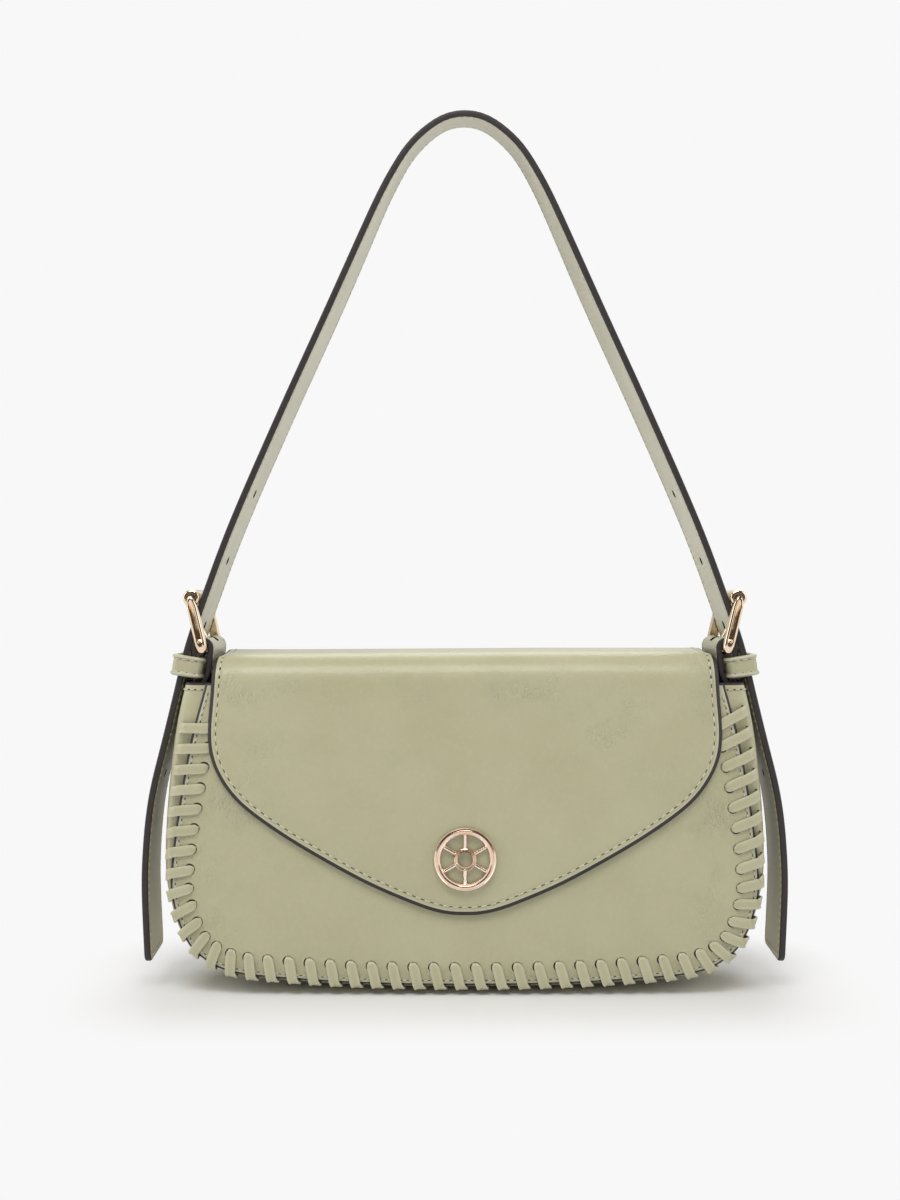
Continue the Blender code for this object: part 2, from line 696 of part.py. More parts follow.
def make_tail(name, side, first_hole):
    """Loose end of the strap, with a round top that turns in the keeper's mouth."""
    line = tail_line()
    half = STRAP_THICKNESS / 2
    widths = [STRAP_WIDTH] * (len(line) - 1) + [STRAP_WIDTH - 2 * TAIL_CORNER]
    pivot = Vector((TAIL_PIVOT.x * side, 0, TAIL_PIVOT.y))
    line = mirrored(line, side)
    end = line[-1]
    direction = (line[-1] - line[-2]).normalized()
    line[-1:] = [end - direction * TAIL_CORNER, end]
    widths.insert(0, STRAP_WIDTH)
    tail = band(name, line, STRAP_WIDTH, STRAP_THICKNESS, strap_leather(), pivot, widths)
    knuckle = rod(name + "_knuckle", pivot.xz, half, -STRAP_WIDTH / 2, STRAP_WIDTH / 2, strap_leather())
    combine(tail, knuckle, "UNION")
    pairs = []
    for index in range(TAIL_HOLES):
        point, direction = place_on(line, first_hole + index * STRAP_HOLE_PITCH)
        size = 2 * STRAP_HOLE_RADIUS
        pairs.append(hole_rings(point, direction, STRAP_THICKNESS, size, size))
    combine(tail, cutter_group(name + "_holes", pairs), "DIFFERENCE")


# Chapes, keepers and buckles

def web_inner_x(z, rail):
    """X of the gusset's inner face at a height, beside the right-hand shoulder."""
    upper = [p for p in rail if p.x > 0 and p.y >= z]
    lower = [p for p in rail if p.x > 0 and p.y < z]
    share = (z - lower[-1].y) / (upper[0].y - lower[-1].y) if upper else 1
    point = lower[-1].lerp(upper[0], share) if upper else rail[-1]
    return point.x + bulge_at(point) - GUSSET_THICKNESS


def make_chape(name, side, rail):
    """Folded tab: sewn inside the gusset, round the buckle's bar and back down."""
    half = CHAPE_THICKNESS / 2
    heights = (CHAPE_BOTTOM, BODY_TOP)
    outer_low, outer_top = [Vector((web_inner_x(z, rail) - half - 2 * SKIN_GAP, z)) for z in heights]
    pitch = Vector((CHAPE_THICKNESS + SKIN_GAP, 0))
    keeper_low = Vector((OUTER_LEG_X, KEEPER_BOTTOM))
    inner_slack = Vector((INNER_LEG_X + CHAPE_THICKNESS / 3, (KEEPER_TOP + KEEPER_BOTTOM) / 2))
    inner_join = keeper_low - Vector((2 * CHAPE_THICKNESS + 2 * SKIN_GAP, CHAPE_THICKNESS / 3))
    outer_top.x = min(outer_top.x, OUTER_LEG_X)
    meeting = outer_top.lerp(outer_low, 0.2)
    loop = arc(BAR_CENTRE, CHAPE_RADIUS, 0, 180, 10)
    line = smooth([tuple(p) for p in (outer_low, outer_top, keeper_low)], 2) + loop
    line += smooth([tuple(p) for p in (inner_slack, inner_join, meeting - pitch, outer_low - pitch)], 2)
    chape = band(name, mirrored(line, side), STRAP_WIDTH, CHAPE_THICKNESS, leather())
    low = BUCKLE_BAR_Z - PRONG_EYE_RADIUS - SKIN_GAP
    high = BUCKLE_BAR_Z + CHAPE_OUTER + CUT_OVERRUN
    reach = CHAPE_OUTER + CUT_OVERRUN
    corners = ((-reach, low), (reach, low), (reach, high), (-reach, high))
    outline = mirrored([Vector((BUCKLE_BAR_X + x, z)) for x, z in corners], side)
    slot = plate(name + "_slot", outline, -CHAPE_SLOT_WIDTH / 2, CHAPE_SLOT_WIDTH / 2, leather())
    combine(chape, slot, "DIFFERENCE")


def keeper_outline(x_low, x_high, half_width, corner):
    """Rectangle of the XY plane with rounded corners."""
    centres = ((x_high - corner, half_width - corner, 0), (x_low + corner, half_width - corner, 90),
               (x_low + corner, corner - half_width, 180), (x_high - corner, corner - half_width, 270))
    points = []
    for x, y, start in centres:
        points += arc((x, y), corner, start, start + 90, 3)
    return points


def make_keeper(name, side):
    """Narrow leather loop that holds the strap's end against the chape's outer leg."""
    lean = math.tan(BUCKLE_LEAN)
    strap_x = STRAP_BY_BAR.x + lean * (BUCKLE_BAR_Z - KEEPER_BOTTOM)
    x_low = OUTER_LEG_X - CHAPE_THICKNESS / 2 - 2 * SKIN_GAP
    x_high = strap_x + STRAP_THICKNESS / 2 / math.cos(BUCKLE_LEAN) + 2 * SKIN_GAP
    half_width = STRAP_WIDTH / 2 + SKIN_GAP
    wall = KEEPER_THICKNESS
    outer = keeper_outline(x_low - wall, x_high + wall, half_width + wall, KEEPER_CORNER)
    inner = keeper_outline(x_low, x_high, half_width, KEEPER_CORNER - wall)
    rings = []
    for outline, z in ((outer, KEEPER_BOTTOM), (outer, KEEPER_TOP), (inner, KEEPER_TOP),
                       (inner, KEEPER_BOTTOM)):
        rings.append([Vector((p.x * side, p.y, z)) for p in outline])
    loft(name, rings, leather(), closed=True)


def arm_outline():
    """Side view of a buckle arm: a bar with round ends about the bar and the roller's pin."""
    half = ARM_WIDTH / 2
    lean = math.degrees(BUCKLE_LEAN)
    over = arc(ROLLER_CENTRE, half, 0 - lean, 180 - lean, 6)
    under = arc(BAR_CENTRE, half, 180 - lean, 360 - lean, 6)
    return over + under


def make_buckle(name, side):
    """Rectangular frame: two arms, the lower bar and the pin inside the roller."""
    bar = rod(name + "_frame", mirrored([BAR_CENTRE], side)[0], BAR_RADIUS, -ARM_Y, ARM_Y, gold())
    pin = rod(name + "_pin", mirrored([ROLLER_CENTRE], side)[0], PIN_RADIUS, -ARM_Y, ARM_Y, gold())
    combine(bar, pin, "UNION")
    for index, y in enumerate((-ARM_Y, ARM_Y)):
        arm = plate(name + "_arm_" + str(index), mirrored(arm_outline(), side),
                    y - ARM_THICKNESS / 2, y + ARM_THICKNESS / 2, gold())
        bevel = arm.modifiers.new("round", "BEVEL")
        bevel.width = ARM_BEVEL
        bevel.segments = 2
        bevel.limit_method = "ANGLE"
        bevel.angle_limit = math.radians(60)
        combine(bar, arm, "UNION")


def make_roller(name, side):
    centre = mirrored([ROLLER_CENTRE], side)[0]
    half_width = ARM_Y - ARM_THICKNESS / 2 - SKIN_GAP
    tube(name, centre, ROLLER_RADIUS, PIN_RADIUS + PIN_GAP, half_width, gold(), 20, (centre.x, 0, centre.y))


def prong_seat():
    """Where the prong's middle line passes the outer side of the roller."""
    return ROLLER_CENTRE + BUCKLE_OUT * (ROLLER_RADIUS + SKIN_GAP + PRONG_RADIUS)


def prong_direction():
    return (prong_seat() - BAR_CENTRE).normalized()


def make_prong(name, side):
    """Pin with an eye round the bar; it goes through the strap and rests on the roller."""
    direction = prong_direction()
    origin = (BAR_CENTRE.x * side, 0, BAR_CENTRE.y)
    start = BAR_CENTRE + direction * (BAR_RADIUS + PRONG_EYE_RADIUS) / 2
    seat = prong_seat()
    tip = seat + BUCKLE_UP * PRONG_OVERHANG
    line = [start, start.lerp(seat, 0.5), seat, tip]
    turned = [direction, direction, (direction + BUCKLE_UP).normalized(), BUCKLE_UP]
    radii = [PRONG_RADIUS, PRONG_RADIUS, PRONG_RADIUS, PRONG_RADIUS * 0.6]
    rings = []
    for place, along, radius in zip(line, turned, radii):
        normal = right_normal(along)
        flat = round_outline((0, 0), radius, HOLE_SIDES)
        rings.append([Vector(((place.x + normal.x * p.x) * side, p.y, place.y + normal.y * p.x))
                      for p in flat])
    shaft = loft(name + "_shaft", rings, gold())
    eye = tube(name, Vector((origin[0], origin[2])), PRONG_EYE_RADIUS, BAR_RADIUS + PIN_GAP,
               PRONG_EYE_WIDTH / 2, gold(), ROUND_SIDES, origin)
    combine(eye, shaft, "UNION")


def build():
    for item in list(bpy.data.objects):
        bpy.data.objects.remove(item, do_unlink=True)
    rail = panel_rail()
    seam = Seam(rail)
    make_front_panel(rail, cutter_group("panel_holes", panel_hole_rings(seam)))
    make_gusset(rail, cutter_group("shoulder_slots", shoulder_slot_rings(seam)))
    make_back_panel(rail)
    make_linings(rail)
    make_lace(seam)
    make_flap()
    make_closure()
    make_emblem()
    below_crossing = make_strap()
    for word, side in SIDES.items():
        make_tail("strap_tail_" + word, side, STRAP_HOLE_PITCH - below_crossing)
        make_chape("chape_" + word, side, rail)
        make_keeper("keeper_" + word, side)
        make_buckle("buckle_" + word, side)
        make_roller("roller_" + word, side)
        make_prong("prong_" + word, side)


build()
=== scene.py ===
import json
import math
import random

import bmesh
import bpy
import numpy as np
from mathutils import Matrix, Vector


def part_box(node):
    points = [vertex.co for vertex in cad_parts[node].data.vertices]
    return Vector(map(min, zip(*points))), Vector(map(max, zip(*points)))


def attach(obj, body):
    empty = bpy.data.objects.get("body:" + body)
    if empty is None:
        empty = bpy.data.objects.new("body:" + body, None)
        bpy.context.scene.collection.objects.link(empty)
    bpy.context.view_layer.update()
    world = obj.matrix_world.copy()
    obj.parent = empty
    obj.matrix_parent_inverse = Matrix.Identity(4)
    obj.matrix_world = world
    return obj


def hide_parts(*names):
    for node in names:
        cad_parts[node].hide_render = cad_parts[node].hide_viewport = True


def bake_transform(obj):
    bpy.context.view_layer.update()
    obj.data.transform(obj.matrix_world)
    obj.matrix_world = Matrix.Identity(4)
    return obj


# A flap shoulder bag in sage leather: laced front panel, bulging gusset, curved flap, buckled strap.
# Leather pieces are cut as flat patterns, given edges, seams and crown, and wrapped into place.

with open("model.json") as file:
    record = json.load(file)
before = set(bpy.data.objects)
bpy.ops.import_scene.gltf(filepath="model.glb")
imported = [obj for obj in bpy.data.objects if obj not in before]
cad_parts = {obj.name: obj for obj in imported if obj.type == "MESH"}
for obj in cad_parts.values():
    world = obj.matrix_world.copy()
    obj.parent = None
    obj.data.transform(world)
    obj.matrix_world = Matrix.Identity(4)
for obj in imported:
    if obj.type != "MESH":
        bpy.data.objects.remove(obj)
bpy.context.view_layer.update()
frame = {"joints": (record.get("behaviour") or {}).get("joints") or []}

MM = 0.001
SIDES = {"left": -1, "right": 1}
BAG = "bag_body"
FLAP = "flap_body"


# Places that come from the frame

def joint_place(name):
    return Vector(next(j["pos_m"] for j in frame["joints"] if j["name"] == name))


def flat(point):
    """A place seen from the front: its X and Z."""
    return Vector((point[0], point[2]))


BAR = flat(joint_place("prong_right_swing"))
ROLLER = flat(joint_place("roller_right_spin"))
TAIL_PIVOT = flat(joint_place("tail_right_swing"))
PANEL_LOW, PANEL_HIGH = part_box("front_panel")
BACK_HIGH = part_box("back_panel")[1]
STRAP_LOW, STRAP_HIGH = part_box("strap")
FLAP_LOW, FLAP_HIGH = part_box("flap")
RING_LOW, RING_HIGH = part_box("emblem_ring")
LINING_LOW, LINING_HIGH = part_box("front_lining")
BACK_LINING_LOW, BACK_LINING_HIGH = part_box("back_lining")
POCKET_LOW, POCKET_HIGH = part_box("slip_pocket")
KEEPER_LOW, KEEPER_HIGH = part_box("keeper_right")
ROLLER_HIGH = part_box("roller_right")[1]
FRAME_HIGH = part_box("buckle_right_frame")[1]
SOCKET_LOW, SOCKET_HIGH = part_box("snap_socket")
STUD_LOW, STUD_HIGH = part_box("snap_stud")

# Sizes of the construction that the looks repeat
GAP = 0.3 * MM
PANEL_THICKNESS = 2.0 * MM
LINING_THICKNESS = 0.8 * MM
GUSSET_THICKNESS = 1.8 * MM
STRAP_THICKNESS = 3.0 * MM
CHAPE_THICKNESS = 2.4 * MM
KEEPER_THICKNESS = 1.6 * MM
FLAP_THICKNESS = 2.2 * MM
LACE_THICKNESS = 0.9 * MM
BODY_DEPTH = BACK_HIGH.y - PANEL_LOW.y
FRONT_Y = PANEL_LOW.y
FLANGE_Y = BODY_DEPTH / 2 - PANEL_THICKNESS - GAP
BODY_BOTTOM = PANEL_LOW.z
BODY_TOP = PANEL_HIGH.z
BODY_HALF_WIDTH = PANEL_HIGH.x
PANEL_SHARES = (
    (0.880, 1.0), (0.934, 0.799), (0.980, 0.537), (1.0, 0.346), (0.990, 0.263),
    (0.959, 0.173), (0.906, 0.101), (0.785, 0.041), (0.528, 0.0154), (0.265, 0.003), (0.0, 0.0),
)
FLANGE_DEPTH = 5.2 * MM
SHOULDER_DEPTH = 3.4 * MM
BULGE_LOW = 0.9 * MM
BULGE_TOP = 9.9 * MM
BULGE_START_SHARE = 0.3
BULGE_SHAPE = 0.75
CROWN_LOW = 3.4 * MM
CROWN_TOP = 1.0 * MM
LACE_COUNT = 50
LACE_WIDTH = 4.6 * MM
LACE_FOLDED_WIDTH = 3.4 * MM
LACE_START = 18.5 * MM
LACE_INSET = 8.3 * MM
LACE_SLANT = 4.0 * MM
LACE_HOLE_RADIUS = 2.8 * MM
FLAP_ROLL_Z = 136.0 * MM
FLAP_TIP_SHARES = (
    (0.0, 0.04), (0.015, 0.112), (0.046, 0.186), (0.135, 0.368), (0.245, 0.544), (0.365, 0.717),
    (0.51, 0.888), (0.562, 0.92), (0.618, 0.957), (0.706, 0.99), (0.792, 1.0), (0.92, 0.992), (1.0, 0.983),
)
FLAP_SHOULDER_WIDTH = 111.3 * MM
FLAP_CREST_WIDTH = 113.5 * MM
STRAP_LOOP_SHARES = (
    (0.0, 1.0), (0.060, 0.996), (0.117, 0.980), (0.206, 0.939), (0.266, 0.891), (0.340, 0.817),
    (0.526, 0.596), (0.713, 0.375), (0.893, 0.153),
)
STRAP_WIDTH = STRAP_HIGH.y - STRAP_LOW.y
STRAP_CLEARANCE = 1.3 * MM
STRAP_HOLE_RADIUS = 2.0 * MM
STRAP_HOLE_WIDTH = 2 * STRAP_HOLE_RADIUS
PRONG_SLOT_LENGTH = 8.2 * MM
STRAP_HOLE_PITCH = 34.0 * MM
TAIL_SPREAD = 146.0 * MM
TAIL_SHARES = (
    (0.27, 0.140), (0.51, 0.260), (0.75, 0.380), (0.906, 0.505), (0.994, 0.660),
    (1.0, 0.755), (0.96, 0.878), (0.912, 1.0),
)
TAIL_END_Z = 12.5 * MM
TAIL_CORNER = 4.0 * MM
BAR_RADIUS = 2.2 * MM
PIN_RADIUS = 1.5 * MM
ROLLER_RADIUS = 3.85 * MM
PRONG_RADIUS = 1.3 * MM
PRONG_EYE_RADIUS = 3.7 * MM
RUNNING_GAP = 0.08 * MM
AXIS_RADIUS = 0.1 * MM
CHAPE_RADIUS = BAR_RADIUS + GAP + CHAPE_THICKNESS / 2
CHAPE_OUTER = CHAPE_RADIUS + CHAPE_THICKNESS / 2
BUCKLE_UP = (ROLLER - BAR).normalized()
BUCKLE_OUT = Vector((BUCKLE_UP.y, -BUCKLE_UP.x))
OUTER_LEG_X = BAR.x + CHAPE_RADIUS
INNER_LEG_X = BAR.x - CHAPE_RADIUS

# Sewing
STITCH_PITCH = 3.2 * MM
STITCH_INSET = 2.3 * MM
THREAD_RADIUS = 0.31 * MM
GROOVE_DEPTH = 0.2 * MM
GROOVE_HALF_WIDTH = 0.75 * MM


# Curves in a plane

def smooth(points, steps, kind=Vector):
    """Points of a Catmull-Rom curve through the given points, with steps spans between each pair."""
    knots = [kind(p) for p in points]
    padded = [2 * knots[0] - knots[1]] + knots + [2 * knots[-1] - knots[-2]]
    result = []
    for a, b, c, d in zip(padded, padded[1:], padded[2:], padded[3:]):
        for step in range(steps):
            t = step / steps
            result.append(b + 0.5 * ((c - a) * t + (2 * a - 5 * b + 4 * c - d) * t**2
                                     + (3 * b - a - 3 * c + d) * t**3))
    return result + [knots[-1]]


def arc(centre, radius, start, end, steps):
    """Points of a circular arc between two angles in degrees, both ends included."""
    angles = [math.radians(start + (end - start) * i / steps) for i in range(steps + 1)]
    return [Vector(centre) + radius * Vector((math.cos(a), math.sin(a))) for a in angles]


def unit(rows):
    """Directions scaled to length 1, one in each row."""
    return rows / np.maximum(np.linalg.norm(rows, axis=1), 1e-12)[:, None]


def circle(radius, sides):
    """Points round a circle at the origin."""
    return [(radius * math.cos(math.tau * i / sides), radius * math.sin(math.tau * i / sides))
            for i in range(sides)]


class Track:
    """A line in a plane, measured along its length, that a flat pattern is wrapped along."""

    def __init__(self, points):
        self.points = np.array([tuple(p) for p in points])
        steps = np.diff(self.points, axis=0)
        self.marks = np.concatenate([[0], np.cumsum(np.linalg.norm(steps, axis=1))])
        steps = unit(steps)
        self.ways = unit(np.vstack([steps[:1], steps[:-1] + steps[1:], steps[-1:]]))
        self.length = self.marks[-1]

    def way(self, s):
        return unit(np.column_stack([np.interp(s, self.marks, self.ways[:, i]) for i in (0, 1)]))

    def place(self, s, lift=0):
        """Points at distances s along the line, raised to its left by lift; the ends run on straight."""
        s = np.atleast_1d(np.asarray(s, float))
        way = self.way(s)
        place = np.column_stack([np.interp(s, self.marks, self.points[:, i]) for i in (0, 1)])
        beyond = np.minimum(s, 0) + np.maximum(s - self.length, 0)
        left = np.column_stack([-way[:, 1], way[:, 0]])
        return place + way * beyond[:, None] + left * np.broadcast_to(lift, s.shape)[:, None]

    def nearest(self, point):
        """Distance along the line of its point nearest to the given one."""
        marks = np.linspace(0, self.length, 2000)
        away = np.linalg.norm(self.place(marks) - np.array(tuple(point)), axis=1)
        return marks[int(away.argmin())]


def inward(outline, distance):
    """A closed anticlockwise outline moved inwards, with mitred corners."""
    points = np.asarray(outline)
    before = unit(points - np.roll(points, 1, axis=0))
    after = unit(np.roll(points, -1, axis=0) - points)
    middle = unit(before + after)
    stretch = distance / np.clip((before * middle).sum(axis=1), 0.4, 1)
    return points + np.column_stack([-middle[:, 1], middle[:, 0]]) * stretch[:, None]


def inset_line(outline, distance):
    """The outline of a row of stitches, at a distance inside a closed outline."""
    return [Vector(p) for p in inward(outline, distance)]


def distance_to(outline, points):
    """Distance of each point to a closed outline."""
    a = np.asarray(outline)
    way = np.roll(a, -1, axis=0) - a
    best = np.full(len(points), 1e9)
    for start, along in zip(a, way):
        t = np.clip(((points - start) @ along) / max(along @ along, 1e-18), 0, 1)
        best = np.minimum(best, np.linalg.norm(points - start - t[:, None] * along, axis=1))
    return best


def softened(points, spacing, times):
    """An open polyline with even spacing, its corners rounded by averaging with the ends held."""
    track = Track(points)
    rows = track.place(np.linspace(0, track.length, round(track.length / spacing) + 1))
    for _ in range(times):
        rows[1:-1] = rows[1:-1] / 2 + (rows[:-2] + rows[2:]) / 4
    return [Vector(row) for row in rows]


def spaced(points, spacing):
    """A polyline's points with each long span divided."""
    result = []
    for a, b in zip(points, points[1:]):
        count = max(1, round((b - a).length / spacing))
        result += [a.lerp(b, i / count) for i in range(count)]
    return result + [points[-1]]


# Shader nodes

def arithmetic(operation, swapped=False):
    """A method of a wire that adds a Math node."""
    def method(wire, other):
        first, second = (other, wire) if swapped else (wire, other)
        return wire.nodes.add("ShaderNodeMath", {"operation": operation}, {0: first, 1: second})
    return method


class Wire:
    """A node's output, with arithmetic that adds Math nodes."""

    def __init__(self, nodes, socket):
        self.nodes = nodes
        self.socket = socket

    __add__, __radd__ = arithmetic("ADD"), arithmetic("ADD", True)
    __sub__, __rsub__ = arithmetic("SUBTRACT"), arithmetic("SUBTRACT", True)
    __mul__, __rmul__ = arithmetic("MULTIPLY"), arithmetic("MULTIPLY", True)
    at_least = arithmetic("MAXIMUM")


class Nodes:
    """The node tree of one material or of the world."""

    def __init__(self, tree):
        self.tree = tree

    def add(self, kind, settings=None, values=None, out=0):
        """A node of a kind: its settings first, then a value or a link for each input named."""
        node = self.tree.nodes.new(kind)
        for name, setting in (settings or {}).items():
            setattr(node, name, setting)
        for name, value in (values or {}).items():
            if isinstance(value, Wire):
                self.tree.links.new(value.socket, node.inputs[name])
            else:
                node.inputs[name].default_value = value
        return Wire(self, node.outputs[out]) if node.outputs else node

    def mix(self, share, first, second):
        return self.add("ShaderNodeMix", {"data_type": "RGBA"}, {0: share, 6: first, 7: second}, 2)

    def step(self, value, low, high):
        """0 under low, 1 over high and smooth between."""
        return self.add("ShaderNodeMapRange", {"interpolation_type": "SMOOTHSTEP"},
                        {"Value": value, "From Min": low, "From Max": high})

    def noise(self, place, scale, detail=2.0, rough=0.5, out=0):
        return self.add("ShaderNodeTexNoise", {}, {"Vector": place, "Scale": scale, "Detail": detail,
                                                   "Roughness": rough}, out)

    def cells(self, place, scale, feature):
        return self.add("ShaderNodeTexVoronoi", {"feature": feature}, {"Vector": place, "Scale": scale})

    def cracks(self, place, scale, width):
        """1 on the lines between the cells and 0 from a width away."""
        return 1 - self.step(self.cells(place, scale, "DISTANCE_TO_EDGE"), 0.01, width)

    def turned(self, place, degrees, scale):
        turn = (0, 0, math.radians(degrees))
        return self.add("ShaderNodeMapping", {}, {"Vector": place, "Rotation": turn, "Scale": scale})

    def attribute(self, name):
        return self.add("ShaderNodeAttribute", {"attribute_name": name}, {}, 2)

    def object_place(self):
        return self.add("ShaderNodeTexCoord", {}, {}, 3)

    def rays(self):
        """1 for rays from the camera, from a glossy surface and through glass, each on its own."""
        return [self.add("ShaderNodeLightPath", {}, {}, out) for out in (0, 3, 6)]

    def bump(self, height, distance):
        return self.add("ShaderNodeBump", {}, {"Height": height, "Distance": distance, "Strength": 1.0})


FINISHES = {}


def finish(name):
    """Makes a material, built once, of a function that takes the nodes and returns the shader's inputs."""
    def finish_of(values):
        def material():
            if name not in FINISHES:
                surface = bpy.data.materials.new(name)
                surface.use_nodes = True
                surface.node_tree.nodes.clear()
                nodes = Nodes(surface.node_tree)
                shader = nodes.add("ShaderNodeBsdfPrincipled", {}, values(nodes))
                nodes.add("ShaderNodeOutputMaterial", {}, {"Surface": shader})
                FINISHES[name] = surface
            return FINISHES[name]
        return material
    return finish_of


SAGE = (0.468, 0.446, 0.283, 1)
SAGE_DEEP = (0.440, 0.419, 0.258, 1)
SAGE_PALE = (0.545, 0.535, 0.400, 1)
# Paler sage for the strap's inside and the backs of pieces: partly their own paler tone, partly painted
# sheen where they catch light at a grazing angle.
INSIDE_SAGE_AND_SHEEN = (0.600, 0.577, 0.440, 1)
INSIDE_SAGE_AND_SHEEN_DEEP = (0.530, 0.507, 0.370, 1)
PAINT = (0.022, 0.017, 0.017, 1)
PAINT_WORN = (0.045, 0.036, 0.035, 1)
CLOTH_GAP = (0.30, 0.265, 0.20, 1)
CLOTH_YARN = (0.50, 0.455, 0.36, 1)
THREAD = (0.82, 0.80, 0.62, 1)
THREAD_SHADE = (0.56, 0.54, 0.38, 1)
# Dark discs laid on the stitch grooves: painted shade for the needle holes.
HOLE_DARK = (0.030, 0.025, 0.015, 1)
HOLE_PALE = (0.070, 0.060, 0.036, 1)
STEEL_DULL = (0.52, 0.50, 0.47, 1)
STEEL_BRIGHT = (0.70, 0.68, 0.64, 1)

# Pattern scales, in features per metre
MOTTLE_SCALE = 26
PATCH_SCALE = 55.0
BEND_SCALE = 90.0
FLECK_SCALE = 420.0
GRAIN_SCALE = 1150
HAIR_SCALE = 2100.0
LONG_CRACK_SCALE = 640.0
SHORT_CRACK_SCALE = 1250.0
YARN_SCALE = 520.0
BEND_REACH = (0.004, 0.004, 0)
RUBBED_AND_LIT_FROM = 1.6 * MM
RUBBED_AND_LIT_TO = 3.0 * MM
WRINKLE_HIGHLIGHT = 0.14
GRAIN_HEIGHT = 0.10
HAIR_HEIGHT = 0.045
WRINKLE_HEIGHT = 0.24


def leather_values(nodes, deep, middle, pale, rough, gloss=0.5, wax=0.22):
    """Waxed leather: slow mottling, a fine pebble grain, wrinkles where it is bent with painted highlights
    along them, and edges paled partly by rubbing and partly as a painted highlight.
    """
    place = nodes.add("ShaderNodeUVMap")
    slow = nodes.noise(place, MOTTLE_SCALE, 3.0, 0.55)
    fine = nodes.noise(place, FLECK_SCALE, 3.0, 0.6)
    grain = nodes.cells(place, GRAIN_SCALE, "SMOOTH_F1")
    hair = nodes.noise(nodes.turned(place, 24, (1.0, 0.45, 1.0)), HAIR_SCALE, 2.0, 0.6)
    bent = nodes.noise(place, BEND_SCALE, 2.0, 0.5, 1)
    moved = nodes.add("ShaderNodeVectorMath", {"operation": "MULTIPLY_ADD"},
                      {0: bent, 1: BEND_REACH, 2: place})
    long_way = nodes.turned(moved, 30, (1.0, 0.42, 1.0))
    short_way = nodes.turned(moved, -25, (1.0, 0.6, 1.0))
    long_cracks = nodes.cracks(long_way, LONG_CRACK_SCALE, 0.16)
    short_cracks = nodes.cracks(short_way, SHORT_CRACK_SCALE, 0.20)
    patch = nodes.step(nodes.noise(place, PATCH_SCALE, 2.0, 0.5), 0.36, 0.76)
    wrinkle = (long_cracks + short_cracks * 0.45) * patch * nodes.attribute("crease")
    # The rim mask for paling the edges: partly rubbed wear, partly a painted highlight where the rounded
    # border catches light.
    rubbed_and_lit = (1 - nodes.step(nodes.attribute("rim"), RUBBED_AND_LIT_FROM, RUBBED_AND_LIT_TO)) * 0.6
    colour = nodes.mix(nodes.step(slow, 0.30, 0.72), deep, middle)
    colour = nodes.mix(nodes.step(fine, 0.45, 0.75) * 0.16, colour, pale)
    colour = nodes.mix(rubbed_and_lit * nodes.attribute("worn"), colour, pale)
    # Wrinkle lines paled: a painted highlight along their crests.
    colour = nodes.mix(wrinkle * WRINKLE_HIGHLIGHT, colour, pale)
    height = grain * GRAIN_HEIGHT + hair * HAIR_HEIGHT - wrinkle * WRINKLE_HEIGHT + slow * 0.10
    rough = rough + fine * 0.10 + slow * 0.05
    return {"Base Color": colour, "Roughness": rough, "Normal": nodes.bump(height, MM),
            "Specular IOR Level": gloss, "Coat Weight": wax, "Coat Roughness": 0.22}


@finish("sage_leather")
def leather(nodes):
    return leather_values(nodes, SAGE_DEEP, SAGE, SAGE_PALE, 0.30)


# A paler copy of the sage leather, partly painted sheen, for the strap's inside, the flap's underside and
# one face of each chape.
@finish("strap_inside")
def pale_leather(nodes):
    return leather_values(nodes, INSIDE_SAGE_AND_SHEEN_DEEP, INSIDE_SAGE_AND_SHEEN, INSIDE_SAGE_AND_SHEEN, 0.36, 0.46, 0.17)


@finish("strap_end_inside")
def dull_leather(nodes):
    return leather_values(nodes, SAGE_DEEP, SAGE, SAGE_PALE, 0.40, 0.24, 0.0)


# Dark edge paint; also laid on the gusset's front flange as painted shade behind the lace holes.
@finish("edge_paint_and_shade")
def edge_paint_and_shade(nodes):
    uneven = nodes.noise(nodes.object_place(), 700.0, 2.0)
    return {"Base Color": nodes.mix(uneven * 0.5, PAINT, PAINT_WORN), "Roughness": 0.42 + uneven * 0.2,
            "Normal": nodes.bump(uneven, 0.08 * MM)}


@finish("lining_cloth")
def cloth(nodes):
    place = nodes.add("ShaderNodeUVMap")
    warp, weft = [nodes.add("ShaderNodeTexWave", {"bands_direction": way},
                            {"Vector": place, "Scale": YARN_SCALE}) for way in "XY"]
    slub = nodes.noise(nodes.turned(place, 0, (1.0, 0.12, 1.0)), 900.0, 2.0)
    weave = warp.at_least(weft)
    return {"Base Color": nodes.mix(weave * 0.5 + slub * 0.3, CLOTH_GAP, CLOTH_YARN),
            "Roughness": 0.82 + slub * 0.1, "Normal": nodes.bump(weave + slub, 0.12 * MM)}


def gold_values(nodes, dull, bright):
    """Polished gold with a faint haze and fine rub marks."""
    place = nodes.object_place()
    haze = nodes.noise(place, 160.0, 3.0)
    rub = nodes.noise(nodes.turned(place, 15, (1.0, 1.0, 0.08)), 2600.0, 2.0)
    return {"Base Color": nodes.mix(nodes.step(haze, 0.35, 0.75), dull, bright), "Metallic": 1.0,
            "Roughness": 0.08 + haze * 0.06 + rub * 0.04, "Normal": nodes.bump(haze, 0.02 * MM)}


@finish("pale_gold")
def gold(nodes):
    return gold_values(nodes, (0.88, 0.70, 0.50, 1), (0.94, 0.79, 0.61, 1))


@finish("rose_gold")
def rose_gold(nodes):
    return gold_values(nodes, (0.93, 0.77, 0.65, 1), (0.98, 0.87, 0.77, 1))


@finish("magnet_steel")
def steel(nodes):
    rub = nodes.noise(nodes.turned(nodes.object_place(), 60, (1.0, 1.0, 0.05)), 2400.0, 2.0)
    return {"Base Color": nodes.mix(rub, STEEL_DULL, STEEL_BRIGHT), "Metallic": 1.0,
            "Roughness": 0.24 + rub * 0.14, "Normal": nodes.bump(rub, 0.01 * MM)}


